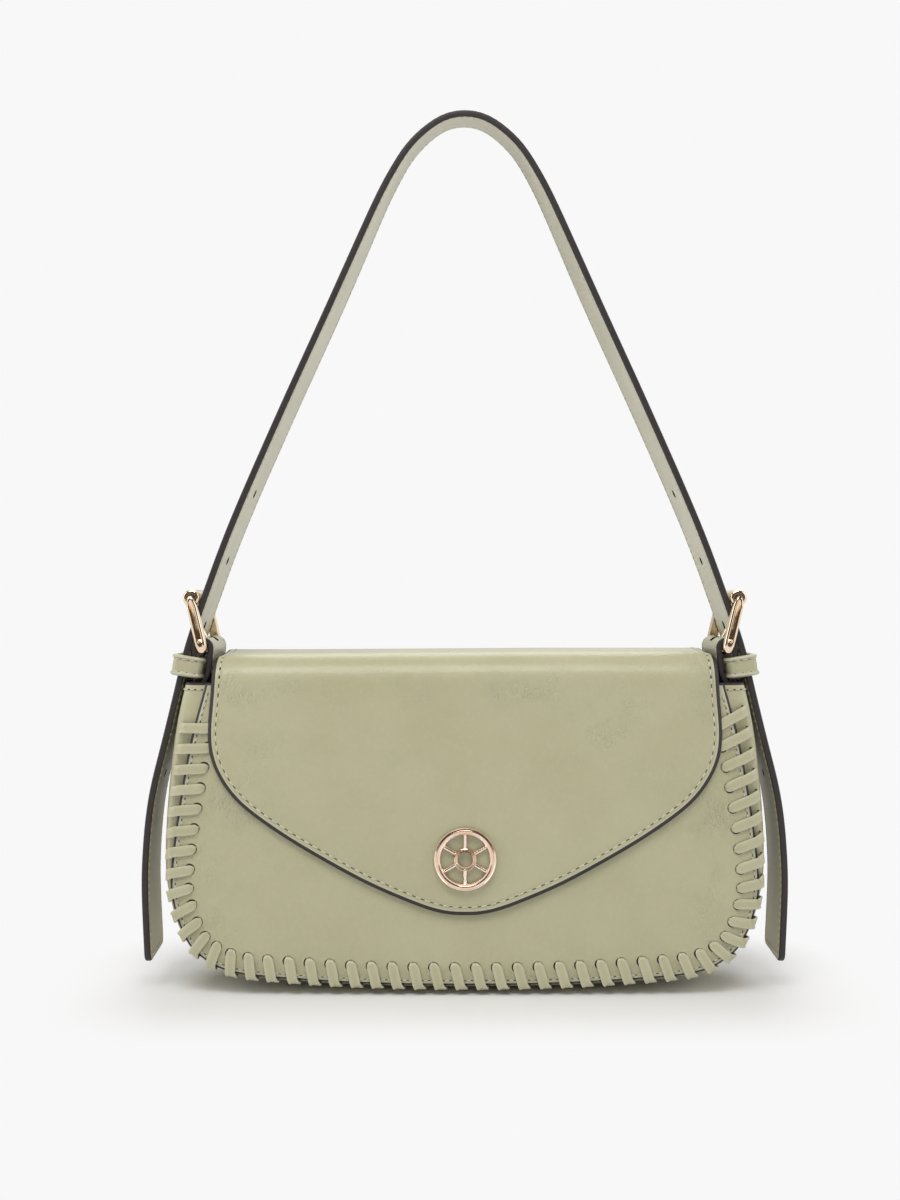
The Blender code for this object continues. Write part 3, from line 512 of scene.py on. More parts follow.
@finish("thread")
def thread(nodes):
    place = nodes.add("ShaderNodeUVMap")
    ply = nodes.add("ShaderNodeTexWave", {"bands_direction": "DIAGONAL"}, {"Vector": place, "Scale": 1.2})
    return {"Base Color": nodes.mix(ply, THREAD_SHADE, THREAD), "Roughness": 0.55,
            "Normal": nodes.bump(ply, 0.06 * MM)}


# The needle holes' painted shade.
@finish("needle_hole_shade")
def painted_hole_shade(nodes):
    soft = nodes.noise(nodes.object_place(), 3000.0)
    return {"Base Color": nodes.mix(soft, HOLE_DARK, HOLE_PALE), "Roughness": 0.8}


# Meshes

CUT_TOLERANCE = 1e-7
SHARP_ANGLE = 50
METAL_SHARP_ANGLE = 35
SLIM_SHARP_ANGLE = 40
EDGE_TURNS = (0, 28, 56, 82)
EDGE_SKIN_STEP = 0.2 * MM
FLAT_EDGE = 0.4
ROUND_EDGE = 0.1
PAINTED_BANDS = 3
SEED_ACROSS = 0.37


def made(bm, name, materials, body, smooth_angle=SHARP_ANGLE):
    """A shaded object from a bmesh, riding on a body."""
    mesh = bpy.data.meshes.new(name)
    bm.to_mesh(mesh)
    bm.free()
    for surface in materials:
        mesh.materials.append(surface)
    mesh.shade_smooth()
    mesh.set_sharp_from_angle(angle=math.radians(smooth_angle))
    piece = bpy.data.objects.new(name, mesh)
    bpy.context.scene.collection.objects.link(piece)
    if body:
        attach(piece, body)
    return piece


def stands_for(node):
    """The piece takes the place of a CAD node, which is hidden."""
    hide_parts(node)


def dice(bm, face, outline, cell):
    """Cuts a flat face into cells, by even lines across U and then along V."""
    geometry = [face, *face.edges, *face.verts]
    low, high = outline.min(axis=0), outline.max(axis=0)
    for axis, size in enumerate(cell):
        count = int((high[axis] - low[axis]) / size)
        normal = Vector((1, 0, 0)) if axis == 0 else Vector((0, 1, 0))
        for i in range(count):
            place = low[axis] + (high[axis] - low[axis]) * (i + 0.5) / count
            cut = bmesh.ops.bisect_plane(bm, geom=geometry, dist=CUT_TOLERANCE, plane_co=normal * place,
                                         plane_no=normal)
            geometry = cut["geom"]


def edge_rings(thickness, paint=0.4 * MM, groove=STITCH_INSET, flat_share=FLAT_EDGE):
    """Section of a cut, rounded, painted and stitched edge: distance from it and height on the skin."""
    half = thickness / 2
    rings = []
    for turn in EDGE_TURNS:
        turn = math.radians(turn)
        height = half * (flat_share + (1 - flat_share) * math.sin(turn))
        rings.append((paint * (1 - math.cos(turn)), height))
    rings.append((paint + EDGE_SKIN_STEP, half))
    if groove:
        rings += [(groove - GROOVE_HALF_WIDTH, half), (groove, half - GROOVE_DEPTH),
                  (groove + GROOVE_HALF_WIDTH, half)]
    return rings + [(max(groove, paint) + 3 * GROOVE_HALF_WIDTH, half)]


def sheet(name, outline, thickness, wrap, materials, body, cell, front=None, back=None,
          crease=None, cutters=None, seed=0.0, worn=1.0):
    """A piece cut from a skin as a flat pattern in U and V, edged and wrapped into place.

    wrap takes U, V, height over the middle layer and distance from the edge, as arrays, and returns
    places. The materials are for the front skin, the painted edge and the back skin. The seed moves
    the leather's pattern, so that pieces don't all show the same stretch of it.
    """
    # The last argument sets how far the edges are paled, partly as wear and partly as a painted highlight.
    outline = np.array([tuple(p) for p in outline])
    front = front or edge_rings(thickness)
    back = back or edge_rings(thickness, groove=0)
    bm = bmesh.new()
    rim = bm.verts.layers.float.new("rim")
    crease_layer = bm.verts.layers.float.new("crease")
    worn_layer = bm.verts.layers.float.new("worn")

    def ring_of(inset, height):
        ring = [bm.verts.new((*p, height)) for p in inward(outline, inset)]
        for vert in ring:
            vert[rim] = inset
        return ring

    def side(rings, sign, skin):
        loops = [ring_of(inset, sign * height) for inset, height in rings]
        for index, (first, second) in enumerate(zip(loops, loops[1:])):
            for i, vert in enumerate(first):
                j = (i + 1) % len(first)
                face = bm.faces.new((vert, first[j], second[j], second[i]))
                face.material_index = 1 if index < PAINTED_BANDS else skin
        middle = bm.faces.new(loops[-1])
        middle.material_index = skin
        dice(bm, middle, outline, cell)
        return loops[0]

    upper = side(front, 1, 0)
    lower = side(back, -1, 2)
    for i, vert in enumerate(upper):
        j = (i + 1) % len(upper)
        bm.faces.new((vert, upper[j], lower[j], lower[i])).material_index = 1
    bmesh.ops.triangulate(bm, faces=[f for f in bm.faces if len(f.verts) > 4])
    bmesh.ops.recalc_face_normals(bm, faces=bm.faces)
    bm.verts.ensure_lookup_table()
    places = np.array([tuple(v.co) for v in bm.verts])
    edge = np.array([v[rim] for v in bm.verts])
    inner = edge > front[-1][0] * 0.999
    edge[inner] = distance_to(outline, places[inner, :2])
    bent = crease(places[:, 0], places[:, 1], edge) if crease else np.zeros(len(places))
    uv = bm.loops.layers.uv.new("UVMap")
    for face in bm.faces:
        for loop in face.loops:
            loop[uv].uv = loop.vert.co.xy + Vector((seed, seed * SEED_ACROSS))
    wrapped = wrap(places[:, 0], places[:, 1], places[:, 2], edge)
    for vert, place, far, amount in zip(bm.verts, wrapped, edge, bent):
        vert.co = place
        vert[rim] = far
        vert[crease_layer] = amount
        vert[worn_layer] = worn
    bmesh.ops.recalc_face_normals(bm, faces=bm.faces)
    piece = made(bm, name, materials, body)
    if cutters:
        punch(piece, cutters)
    return piece


def punch(piece, prisms):
    """Holes with painted walls through a piece, each given by the two end rings of a prism."""
    bm = bmesh.new()
    for rings in prisms:
        low, high = [[bm.verts.new(p) for p in ring] for ring in rings]
        count = len(low)
        for i in range(count):
            bm.faces.new((low[i], low[(i + 1) % count], high[(i + 1) % count], high[i]))
        bm.faces.new(low)
        bm.faces.new(high)
    bmesh.ops.recalc_face_normals(bm, faces=bm.faces)
    for face in bm.faces:
        face.material_index = 1
    tool = made(bm, piece.name + "_cutter", list(piece.data.materials), None)
    modifier = piece.modifiers.new("holes", "BOOLEAN")
    modifier.operation = "DIFFERENCE"
    modifier.solver = "EXACT"
    modifier.object = tool
    bpy.context.view_layer.update()
    graph = bpy.context.evaluated_depsgraph_get()
    final = bpy.data.meshes.new_from_object(piece.evaluated_get(graph), preserve_all_data_layers=True,
                                            depsgraph=graph)
    piece.modifiers.clear()
    piece.data = final
    piece.data.set_sharp_from_angle(angle=math.radians(SHARP_ANGLE))
    bpy.data.objects.remove(tool)


def loft(name, rings, materials, body, closed_path=False, material_of=None, marks=None, around=None,
         seed=0.0, angle=SHARP_ANGLE):
    """Skin over rings of points; marks and around are the UV distances along and round them."""
    bm = bmesh.new()
    loops = [[bm.verts.new(tuple(p)) for p in ring] for ring in rings]
    uv = bm.loops.layers.uv.new("UVMap")
    count = len(loops[0])
    marks = marks if marks is not None else np.arange(len(rings) + 1) * MM
    around = around if around is not None else np.arange(count + 1) * MM
    for index, (first, second) in enumerate(zip(loops, loops[1:] + (loops[:1] if closed_path else []))):
        for i in range(count):
            j = (i + 1) % count
            face = bm.faces.new((first[i], first[j], second[j], second[i]))
            face.material_index = material_of(index, i) if material_of else 0
            corners = ((index, i), (index, i + 1), (index + 1, i + 1), (index + 1, i))
            for loop, (along, over) in zip(face.loops, corners):
                loop[uv].uv = (around[over] + seed, marks[along] + seed * SEED_ACROSS)
    if not closed_path:
        for ends in (loops[0], loops[-1]):
            bm.faces.new(ends).material_index = min(1, len(materials) - 1)
    bmesh.ops.recalc_face_normals(bm, faces=bm.faces)
    return made(bm, name, materials, body, angle)


def turned_piece(name, centre, profile, materials, body, sides=48, side=1):
    """A piece turned about a line along Y: the profile holds (Y, radius) round its section."""
    rings = []
    for i in range(sides):
        turn = math.tau * i / sides
        rings.append([((centre.x + r * math.cos(turn)) * side, y, centre.y + r * math.sin(turn))
                      for y, r in profile])
    return loft(name, rings, materials, body, closed_path=True, angle=METAL_SHARP_ANGLE)


def joined(name, pieces, body):
    """Several loose pieces as one object."""
    bm = bmesh.new()
    materials = list(pieces[0].data.materials)
    for piece in pieces:
        bm.from_mesh(piece.data)
        bpy.data.objects.remove(piece)
    return made(bm, name, materials, body, METAL_SHARP_ANGLE)


def give_attributes(piece, **values):
    """Point attributes that the leather reads: one number for all points, or one each."""
    for name, value in values.items():
        layer = piece.data.attributes.new(name, "FLOAT", "POINT")
        full = np.broadcast_to(np.asarray(value, np.float32), (len(piece.data.vertices),))
        layer.data.foreach_set("value", np.ascontiguousarray(full))


# Sewing

THREADS = {}
STITCH_SIDES = 6
STITCH_RINGS = (
    (0.0, -0.9, 0.55), (0.14, 0.25, 0.9), (0.5, 0.75, 1.0), (0.86, 0.25, 0.9), (1.0, -0.9, 0.55),
)
STITCH_SPREAD = 1.15
HOLE_SIDES = 10
HOLE_ALONG = 0.60
HOLE_ACROSS = 0.38
HOLE_LIFT = 0.05 * MM
BODY_STITCHES = "stitching_body"
FLAP_STITCHES = "stitching_flap"
TAIL_STITCHES = "stitching_tail_"
STITCH_FROM = 0.15
STITCH_TO = 0.85


def stitch(row, a, b, height, sign):
    """One stitch from a to b in the flat pattern, sunk at both ends."""
    verts, faces, marks = row
    way = (b - a).normalized()
    across = Vector((-way.y, way.x))
    start = len(verts)
    for t, lift, swell in STITCH_RINGS:
        middle = a.lerp(b, t)
        for k in range(STITCH_SIDES):
            turn = math.tau * k / STITCH_SIDES
            place = middle + across * (THREAD_RADIUS * swell * STITCH_SPREAD * math.cos(turn))
            rise = height + THREAD_RADIUS * (lift + swell * math.sin(turn))
            verts.append((place.x, place.y, sign * rise))
    spans = len(STITCH_RINGS) - 1
    for ring in range(spans):
        for k in range(STITCH_SIDES):
            j = (k + 1) % STITCH_SIDES
            base = start + ring * STITCH_SIDES
            faces.append((base + k, base + j, base + STITCH_SIDES + j, base + STITCH_SIDES + k))
    for ring in (0, spans):
        faces.append(tuple(start + ring * STITCH_SIDES + k for k in range(STITCH_SIDES)))
    marks.extend([0] * (spans * STITCH_SIDES + 2))


def needle_hole_shade(row, place, way, height, sign, size):
    """A dark slit in the groove, long along the row: painted shade for the needle hole."""
    verts, faces, marks = row
    start = len(verts)
    across = Vector((-way.y, way.x))
    for k in range(HOLE_SIDES):
        turn = math.tau * k / HOLE_SIDES
        spot = place + way * (HOLE_ALONG * size * math.cos(turn))
        spot = spot + across * (HOLE_ACROSS * size * math.sin(turn))
        verts.append((spot.x, spot.y, sign * height))
    faces.append(tuple(start + k for k in range(HOLE_SIDES)))
    marks.append(1)


def sew(line, wrap, height, sign=1, pitch=STITCH_PITCH, edge=STITCH_INSET, hole=MM,
        group=BODY_STITCHES):
    """A row of stitches along a flat line; group names the object that all its rows end in."""
    track = Track(line)
    row = ([], [], [])
    count = max(2, round(track.length / pitch))
    step = track.length / count
    floor = height - GROOVE_DEPTH
    for i in range(count):
        ends = track.place([(i + STITCH_FROM) * step, (i + STITCH_TO) * step])
        stitch(row, Vector(ends[0]), Vector(ends[1]), floor, sign)
        way = Vector(track.way(np.array([i * step]))[0])
        needle_hole_shade(row, Vector(track.place([i * step])[0]), way, floor + HOLE_LIFT, sign, hole)
    verts = np.array(row[0])
    wrapped = wrap(verts[:, 0], verts[:, 1], verts[:, 2], np.full(len(verts), edge))
    THREADS.setdefault(group, []).append((wrapped, row[1], row[2]))


def finish_threads():
    """One object of threads and of the needle holes' painted shade for each group of rows."""
    result = {}
    for group, rows in THREADS.items():
        bm = bmesh.new()
        uv = bm.loops.layers.uv.new("UVMap")
        for places, faces, marks in rows:
            verts = [bm.verts.new(p) for p in places]
            for corners, mark in zip(faces, marks):
                face = bm.faces.new([verts[i] for i in corners])
                face.material_index = mark
                for loop, number in zip(face.loops, corners):
                    loop[uv].uv = (number % STITCH_SIDES, number // STITCH_SIDES)
        piece = made(bm, group, [thread(), painted_hole_shade()], BAG if group == BODY_STITCHES else None)
        result[group] = piece
    return result


# Body

BODY_HEIGHT = BODY_TOP - BODY_BOTTOM
PANEL_HALF = [(w * BODY_HALF_WIDTH, BODY_BOTTOM + h * BODY_HEIGHT) for w, h in PANEL_SHARES]
RAIL = smooth([(-x, z) for x, z in PANEL_HALF] + PANEL_HALF[-2::-1], 6)
SEAM = Track(RAIL)
EMBLEM_CENTRE = Vector((0, (RING_LOW.z + RING_HIGH.z) / 2))
PANEL_PAINT = 1.2 * MM
PANEL_NEEDLE_HOLE = 1.2 * MM
PANEL_STITCH_INSET = 2.3 * MM
PANEL_HOLE_RADIUS = 2.5 * MM
GUSSET_PAINT = 1.1 * MM
GUSSET_END = 2.6 * MM
GUSSET_STITCH_INSET = 3.3 * MM
GUSSET_LEVEL_LENGTH = 22 * MM
GUSSET_RIBS = 150
GUSSET_RIB_STEP = 1.6 * MM
GUSSET_ROW_INSET = 3 * MM
LACE_PITCH = (SEAM.length - 2 * LACE_START) / (LACE_COUNT - 1)
LACE_STARTS = [LACE_START + LACE_PITCH * i for i in range(LACE_COUNT)]
SLOT_OUT_SHARE = 0.62
SLOT_Y = -FLANGE_Y + SHOULDER_DEPTH * 0.25
SLOT_REACHES = (2.2 * MM, -3.6 * MM)
SLOT_HALF_LENGTH = 2.5 * MM
SLOT_HALF_WIDTH = 1.05 * MM
PANEL_SWELL_REACH = 16 * MM
PANEL_DIP_REACH = 2.5 * MM


def seam_place(along, out, y):
    """A place by the panel's edge: distance along it, distance outside it, and Y."""
    spot = SEAM.place(along, -np.asarray(out, float))[0]
    return Vector((spot[0], y, spot[1]))


def climb(z):
    """Share of the way from where the gusset starts to bulge up to its top."""
    return max(0, ((z - BODY_BOTTOM) / BODY_HEIGHT - BULGE_START_SHARE) / (1 - BULGE_START_SHARE))


def bulge_at(z):
    """How far the gusset's shoulder stands outside the panel's edge."""
    return BULGE_LOW + (BULGE_TOP - BULGE_LOW) * climb(z) ** BULGE_SHAPE


def crown_at(z):
    """How far the middle of the gusset stands outside its shoulders."""
    return CROWN_LOW + (CROWN_TOP - CROWN_LOW) * (z - BODY_BOTTOM) / BODY_HEIGHT


def hill(x, z, centre, radius):
    """1 at a centre, falling to nothing around it."""
    return np.exp(-((x - centre[0]) ** 2 + (z - centre[1]) ** 2) / radius**2)


def ramp(value, length):
    """0 where the value is under nothing and 1 where it is over the length."""
    return np.clip(value / length, 0, 1)


def swelling(rim, height, dip):
    """How far a panel swells inside its laced edge, which dips."""
    return height * (1 - np.exp(-rim / PANEL_SWELL_REACH)) - dip * np.exp(-rim / PANEL_DIP_REACH)


def front_panel_wrap(u, v, h, rim):
    """The panel swells from its laced edge and lies flat behind the snap."""
    swell = swelling(rim, 0.75 * MM, 0.30 * MM) * (1 - hill(u, v, EMBLEM_CENTRE, 22 * MM))
    return np.column_stack([u, FRONT_Y + PANEL_THICKNESS / 2 - h - swell, v])


def back_panel_wrap(u, v, h, rim):
    """The panel swells, and lies flat at the top where the flap is sewn on."""
    swell = swelling(rim, 0.8 * MM, 0.2 * MM) * ramp(BODY_TOP - 12 * MM - v, 20 * MM)
    return np.column_stack([u, BACK_HIGH.y - PANEL_THICKNESS / 2 + h + swell, v])


def panel_crease(u, v, rim):
    """Wrinkles where the lacing draws the leather in."""
    edge = 0.5 * np.exp(-rim / (22 * MM))
    upper = hill(np.abs(u), v, (112 * MM, 82 * MM), 26 * MM)
    lower = 0.6 * hill(np.abs(u), v, (118 * MM, 30 * MM), 20 * MM)
    return np.clip(0.12 + edge + upper + lower, 0, 1)


def make_front_panel():
    holes = []
    for start in LACE_STARTS:
        centre = seam_place(start, -LACE_INSET, 0)
        holes.append([[(centre.x + x, y, centre.z + z) for x, z in circle(PANEL_HOLE_RADIUS, 20)]
                      for y in (FRONT_Y - 4 * MM, FRONT_Y + 5 * MM)])
    panel = sheet("front_panel_leather", RAIL, PANEL_THICKNESS, front_panel_wrap,
                  [leather(), edge_paint_and_shade(), cloth()], BAG, (3 * MM, 3 * MM),
                  front=edge_rings(PANEL_THICKNESS, PANEL_PAINT, PANEL_STITCH_INSET, ROUND_EDGE),
                  crease=panel_crease, cutters=holes, seed=0.1)
    stands_for("front_panel")
    sew(inset_line(RAIL, PANEL_STITCH_INSET)[1:-1], front_panel_wrap, PANEL_THICKNESS / 2,
        edge=PANEL_STITCH_INSET, hole=PANEL_NEEDLE_HOLE)


def make_back_panel():
    neck = [Vector((side * (FLAP_SHOULDER_WIDTH + 0.7 * MM), BACK_HIGH.z)) for side in (1, -1)]
    outline = RAIL + neck
    panel = sheet("back_panel_leather", outline, PANEL_THICKNESS, back_panel_wrap,
                  [leather(), edge_paint_and_shade(), cloth()], BAG, (5 * MM, 5 * MM), crease=panel_crease, seed=0.5)
    stands_for("back_panel")
    sew(inset_line(outline, STITCH_INSET)[1:len(RAIL) - 1], back_panel_wrap, PANEL_THICKNESS / 2)


def gusset_section(z):
    """The gusset's section from front to back: how far outside the panel's edge, Y, and the way out."""
    bulge, crown = bulge_at(z), crown_at(z)
    shoulder_y = FLANGE_Y - SHOULDER_DEPTH
    points = [(-FLANGE_DEPTH, -FLANGE_Y, 0, -1), (-FLANGE_DEPTH / 2, -FLANGE_Y, 0, -1)]
    for i in range(7):
        turn = math.radians(90 * i / 6)
        sine, cosine = math.sin(turn), math.cos(turn)
        y = -FLANGE_Y + SHOULDER_DEPTH * (1 - cosine)
        points.append((GAP + (bulge - GAP) * sine, y, sine, -cosine))
    for share in (0.9, 0.8, 0.7, 0.6, 0.5, 0.25):
        fall = max(0, (share - 0.5) / 0.5)
        points.append((bulge + crown * (1 - fall**2), -share * shoulder_y, 1, 0))
    back = [(n, -y, out, -facing) for n, y, out, facing in reversed(points)]
    return np.array(points + [(bulge + crown, 0, 1, 0)] + back)


def gusset_way(stop):
    """The seam's direction, turned upright towards the gusset's level top ends."""
    stop = np.atleast_1d(np.asarray(stop, float))
    upright = np.column_stack([np.zeros(len(stop)), np.where(stop < SEAM.length / 2, -1.0, 1.0)])
    share = ramp(np.minimum(stop, SEAM.length - stop), GUSSET_LEVEL_LENGTH)[:, None]
    share = share * share * (3 - 2 * share)
    return unit(SEAM.way(stop) * share + upright * (1 - share))


def lace_slot(start):
    """The two end rings of the slot in the gusset's front shoulder that a turn of the lace goes through."""
    distance = start + LACE_SLANT
    way = SEAM.way(np.array([distance]))[0]
    bulge = bulge_at(SEAM.place(distance)[0][1])
    along = Vector((way[0], 0, way[1]))
    axis = (Vector((way[1], 0, -way[0])) + Vector((0, -1, 0))).normalized()
    across = axis.cross(along)
    centre = seam_place(distance, bulge * SLOT_OUT_SHARE, SLOT_Y)
    corners = [(SLOT_HALF_LENGTH * x, SLOT_HALF_WIDTH * z) for x, z in circle(1, 16)]
    return [[centre + axis * reach + along * a + across * b for a, b in corners] for reach in SLOT_REACHES]


def make_gusset():
    rings = []
    stops = [0.0, GUSSET_PAINT] + list(np.linspace(GUSSET_END, SEAM.length - GUSSET_END, GUSSET_RIBS))
    stops += [SEAM.length - GUSSET_PAINT, SEAM.length]
    for stop in stops:
        spot = SEAM.place(stop)[0]
        way = gusset_way(stop)[0]
        out = np.array([way[1], -way[0]])
        section = gusset_section(spot[1])
        outer = section[:, :2]
        inner = outer - section[:, 2:] * GUSSET_THICKNESS
        ring = []
        for row, least in ((outer, 0.0), (inner[::-1], GUSSET_THICKNESS)):
            for n, y in row:
                place = spot + out * n
                ring.append((place[0], y, max(place[1], least)))
        rings.append(ring)
    count = len(section)

    def surface(index, i):
        # The front flange's outer faces, seen only through the lace holes, take the dark edge paint as
        # painted shade; the end bands and flange tips are painted edges.
        if index in (0, len(rings) - 2) or i in (0, 1, count - 1, 2 * count - 1):
            return 1
        return 0 if i < count else 2

    gusset = loft("gusset_leather", rings, [leather(), edge_paint_and_shade(), cloth()], BAG, material_of=surface,
                  marks=stops + stops[-1:], around=np.arange(2 * count + 1) * GUSSET_RIB_STEP, seed=0.8)
    punch(gusset, [lace_slot(start) for start in LACE_STARTS])
    stands_for("gusset")
    top = Track(gusset_section(BODY_TOP)[:, :2])

    def wrap(u, v, h, rim):
        across = top.place(v, -h)
        spot, way = SEAM.place(u), gusset_way(u)
        return np.column_stack([spot[:, 0] + way[:, 1] * across[:, 0], across[:, 1],
                                spot[:, 1] - way[:, 0] * across[:, 0]])

    for u in (GUSSET_STITCH_INSET, SEAM.length - GUSSET_STITCH_INSET):
        row = [Vector((u, GUSSET_ROW_INSET)), Vector((u, top.length - GUSSET_ROW_INSET))]
        sew(spaced(row, 1 * MM), wrap, GROOVE_DEPTH)


LACE_SECTION = (
    (-1, -0.55), (-1, 0.60), (-0.95, 0.92), (-0.84, 1.08), (0, 1.14), (0.84, 1.08), (0.95, 0.92), (1, 0.60),
    (1, -0.55), (0.92, -0.95), (-0.92, -0.95),
)
LACE_AROUND = np.array([0, .5, .7, .9, 2.9, 4.9, 5.1, 5.3, 5.8, 6.1, 10.7, 11.0]) * MM
LACE_TURN_WANDER = 0.12
LACE_WANDER_SEED = 11
LACE_KNOTS_TO_SLOT = 13


def lace_turn(start, step):
    """One turn of the lace: distance along the seam, distance outside the edge, Y, and width.

    Over the gusset's shoulder the lace swings wide where the gusset bulges and turns tightly elsewhere.
    """
    out = bulge_at(SEAM.place(start + LACE_SLANT)[0][1]) * SLOT_OUT_SHARE
    rise = FRONT_Y - GAP - LACE_THICKNESS / 2 - 0.20 * MM
    inside = -FLANGE_Y + GUSSET_THICKNESS + GAP + LACE_THICKNESS / 2
    slant = LACE_SLANT
    wide = np.array([
        (0.62, 0.2 * MM, rise, LACE_WIDTH),
        (0.84, out * 0.72, rise + 0.75 * MM, LACE_WIDTH),
        (0.97, out + 0.80 * MM, SLOT_Y - 1.75 * MM, LACE_WIDTH),
        (1.0, out + 0.95 * MM, SLOT_Y - 0.75 * MM, 4.3 * MM),
        (1.0, out + 0.1 * MM, SLOT_Y + 0.05 * MM, LACE_FOLDED_WIDTH),
    ])
    tight = np.array([
        (0.62, -0.4 * MM, rise, LACE_WIDTH),
        (0.78, 0.80 * MM, FRONT_Y - 0.70 * MM, LACE_WIDTH),
        (0.90, 1.28 * MM, FRONT_Y + 0.35 * MM, LACE_WIDTH),
        (0.99, 1.30 * MM, FRONT_Y + 1.90 * MM, 4.5 * MM),
        (1.0, 0.70 * MM, SLOT_Y + 0.05 * MM, 3.9 * MM),
    ])
    share = min(1, out / (2.5 * MM))
    over_shoulder = wide * share + tight * (1 - share)
    over_shoulder = [(along * slant, n, y, width) for along, n, y, width in over_shoulder]
    places = [
        (0, -9.5 * MM, FRONT_Y + 1.9 * MM, 1.7 * MM),
        (0, -9.95 * MM, FRONT_Y + 0.35 * MM, 1.9 * MM),
        (0, -9.85 * MM, rise + 0.55 * MM, 2.6 * MM),
        (0.02 * slant, -9.3 * MM, rise + 0.14 * MM, 3.7 * MM),
        (0.06 * slant, -8.6 * MM, rise - 0.06 * MM, 4.35 * MM),
        (0.16 * slant, -7.4 * MM, rise - 0.15 * MM, LACE_WIDTH),
        (0.38 * slant, -4.0 * MM, rise - 0.22 * MM, LACE_WIDTH),
    ] + over_shoulder + [
        (slant, out - GUSSET_THICKNESS, SLOT_Y + GUSSET_THICKNESS, LACE_FOLDED_WIDTH),
        (slant + 0.65 * (step - slant), -FLANGE_DEPTH - LACE_THICKNESS / 2, inside + LACE_THICKNESS / 4,
         LACE_FOLDED_WIDTH),
        (slant + 0.94 * (step - slant), -8.7 * MM, -FLANGE_Y + LACE_THICKNESS * 1.1, 3.0 * MM),
    ]
    return [(start + along, n, y, width) for along, n, y, width in places]


def make_lace():
    """The lace as one flat strip that spirals through the panel's holes and the gusset's slots."""
    chance = random.Random(LACE_WANDER_SEED)
    knots = []
    for start in LACE_STARTS:
        knots += lace_turn(start + chance.uniform(-LACE_TURN_WANDER, LACE_TURN_WANDER) * MM, LACE_PITCH)
    past_slot = len(knots) // LACE_COUNT - LACE_KNOTS_TO_SLOT
    knots = knots[:-past_slot]
    spots = [(*seam_place(along, n, y), width, along) for along, n, y, width in knots]
    fine = np.array(smooth(spots, 5, np.array))
    centres = fine[:, :3]
    ways = unit(np.vstack([centres[1:2] - centres[:1], centres[2:] - centres[:-2],
                           centres[-1:] - centres[-2:-1]]))
    seam_ways = SEAM.way(fine[:, 4])
    alongs = np.column_stack([seam_ways[:, 0], np.zeros(len(fine)), seam_ways[:, 1]])
    across = unit(alongs - ways * (alongs * ways).sum(axis=1)[:, None])
    thick = unit(np.cross(ways, across))
    rings = [[c + a * (w / 2 * x) + t * (LACE_THICKNESS / 2 * z) for x, z in LACE_SECTION]
             for c, a, t, w in zip(centres, across, thick, fine[:, 3])]
    marks = np.concatenate([[0], np.cumsum(np.linalg.norm(np.diff(centres, axis=0), axis=1)), [0]])
    lace = loft("lace_leather", rings, [leather(), leather()], BAG, marks=marks, around=LACE_AROUND,
                seed=1.4, angle=SLIM_SHARP_ANGLE)
    rims = [(1 - abs(x)) * LACE_WIDTH / 2 + 1.2 * MM for x, _ in LACE_SECTION]
    give_attributes(lace, rim=np.tile(rims, len(rings)), worn=0.8, crease=0.25)
    stands_for("lace")


# Lining and pocket

POCKET_CORNER = 7 * MM
POCKET_HEM = 9 * MM
POCKET_HEM_INSET = 3 * MM
CLOTH_WAVE = 0.16 * MM


def lining_wrap(y, outward):
    """A cloth layer at a depth, with faint waves that fade towards its edge."""
    def wrap(u, v, h, rim):
        wave = CLOTH_WAVE * np.sin(u * 95 + 2.1 * np.sin(v * 60)) * np.sin(v * 70 + 1.3)
        return np.column_stack([u, y + outward * (h + wave * ramp(rim, 14 * MM)), v])
    return wrap


def make_linings():
    rings = edge_rings(LINING_THICKNESS, groove=0)
    way = SEAM.way(SEAM.marks)
    inwards = np.column_stack([-way[:, 1], way[:, 0]])
    for word, low, high, inset, outward in (
            ("front", LINING_LOW, LINING_HIGH, LACE_INSET + LACE_HOLE_RADIUS + 2 * GAP, 1),
            ("back", BACK_LINING_LOW, BACK_LINING_HIGH, FLANGE_DEPTH + 2 * GAP, -1)):
        outline = [Vector(p) for p in np.array(RAIL) + inwards * inset]
        lining = sheet(word + "_lining_cloth", outline, LINING_THICKNESS,
                       lining_wrap((low.y + high.y) / 2, outward), [cloth()] * 3, BAG, (6 * MM, 6 * MM),
                       front=rings, back=rings, seed=2.0)
        stands_for(word + "_lining")


def make_pocket():
    low, high = POCKET_LOW, POCKET_HIGH
    thickness = high.y - low.y
    outline = arc((low.x + POCKET_CORNER, low.z + POCKET_CORNER), POCKET_CORNER, 180, 270, 6)
    outline += arc((high.x - POCKET_CORNER, low.z + POCKET_CORNER), POCKET_CORNER, 270, 360, 6)
    outline += [Vector((high.x, high.z)), Vector((low.x, high.z))]
    wrap = lining_wrap((low.y + high.y) / 2, -1)
    rings = edge_rings(thickness, groove=0)
    pocket = sheet("slip_pocket_cloth", outline, thickness, wrap, [cloth()] * 3, BAG, (5 * MM, 5 * MM),
                   front=rings, back=rings, seed=2.6)
    stands_for("slip_pocket")
    line = inset_line(outline, STITCH_INSET)
    hem_ends = (low.x + POCKET_HEM_INSET, high.x - POCKET_HEM_INSET)
    for row in ([line[-1]] + line[:-1], [Vector((x, high.z - POCKET_HEM)) for x in hem_ends]):
        sew(row, wrap, thickness / 2 + GROOVE_DEPTH)


# Flap

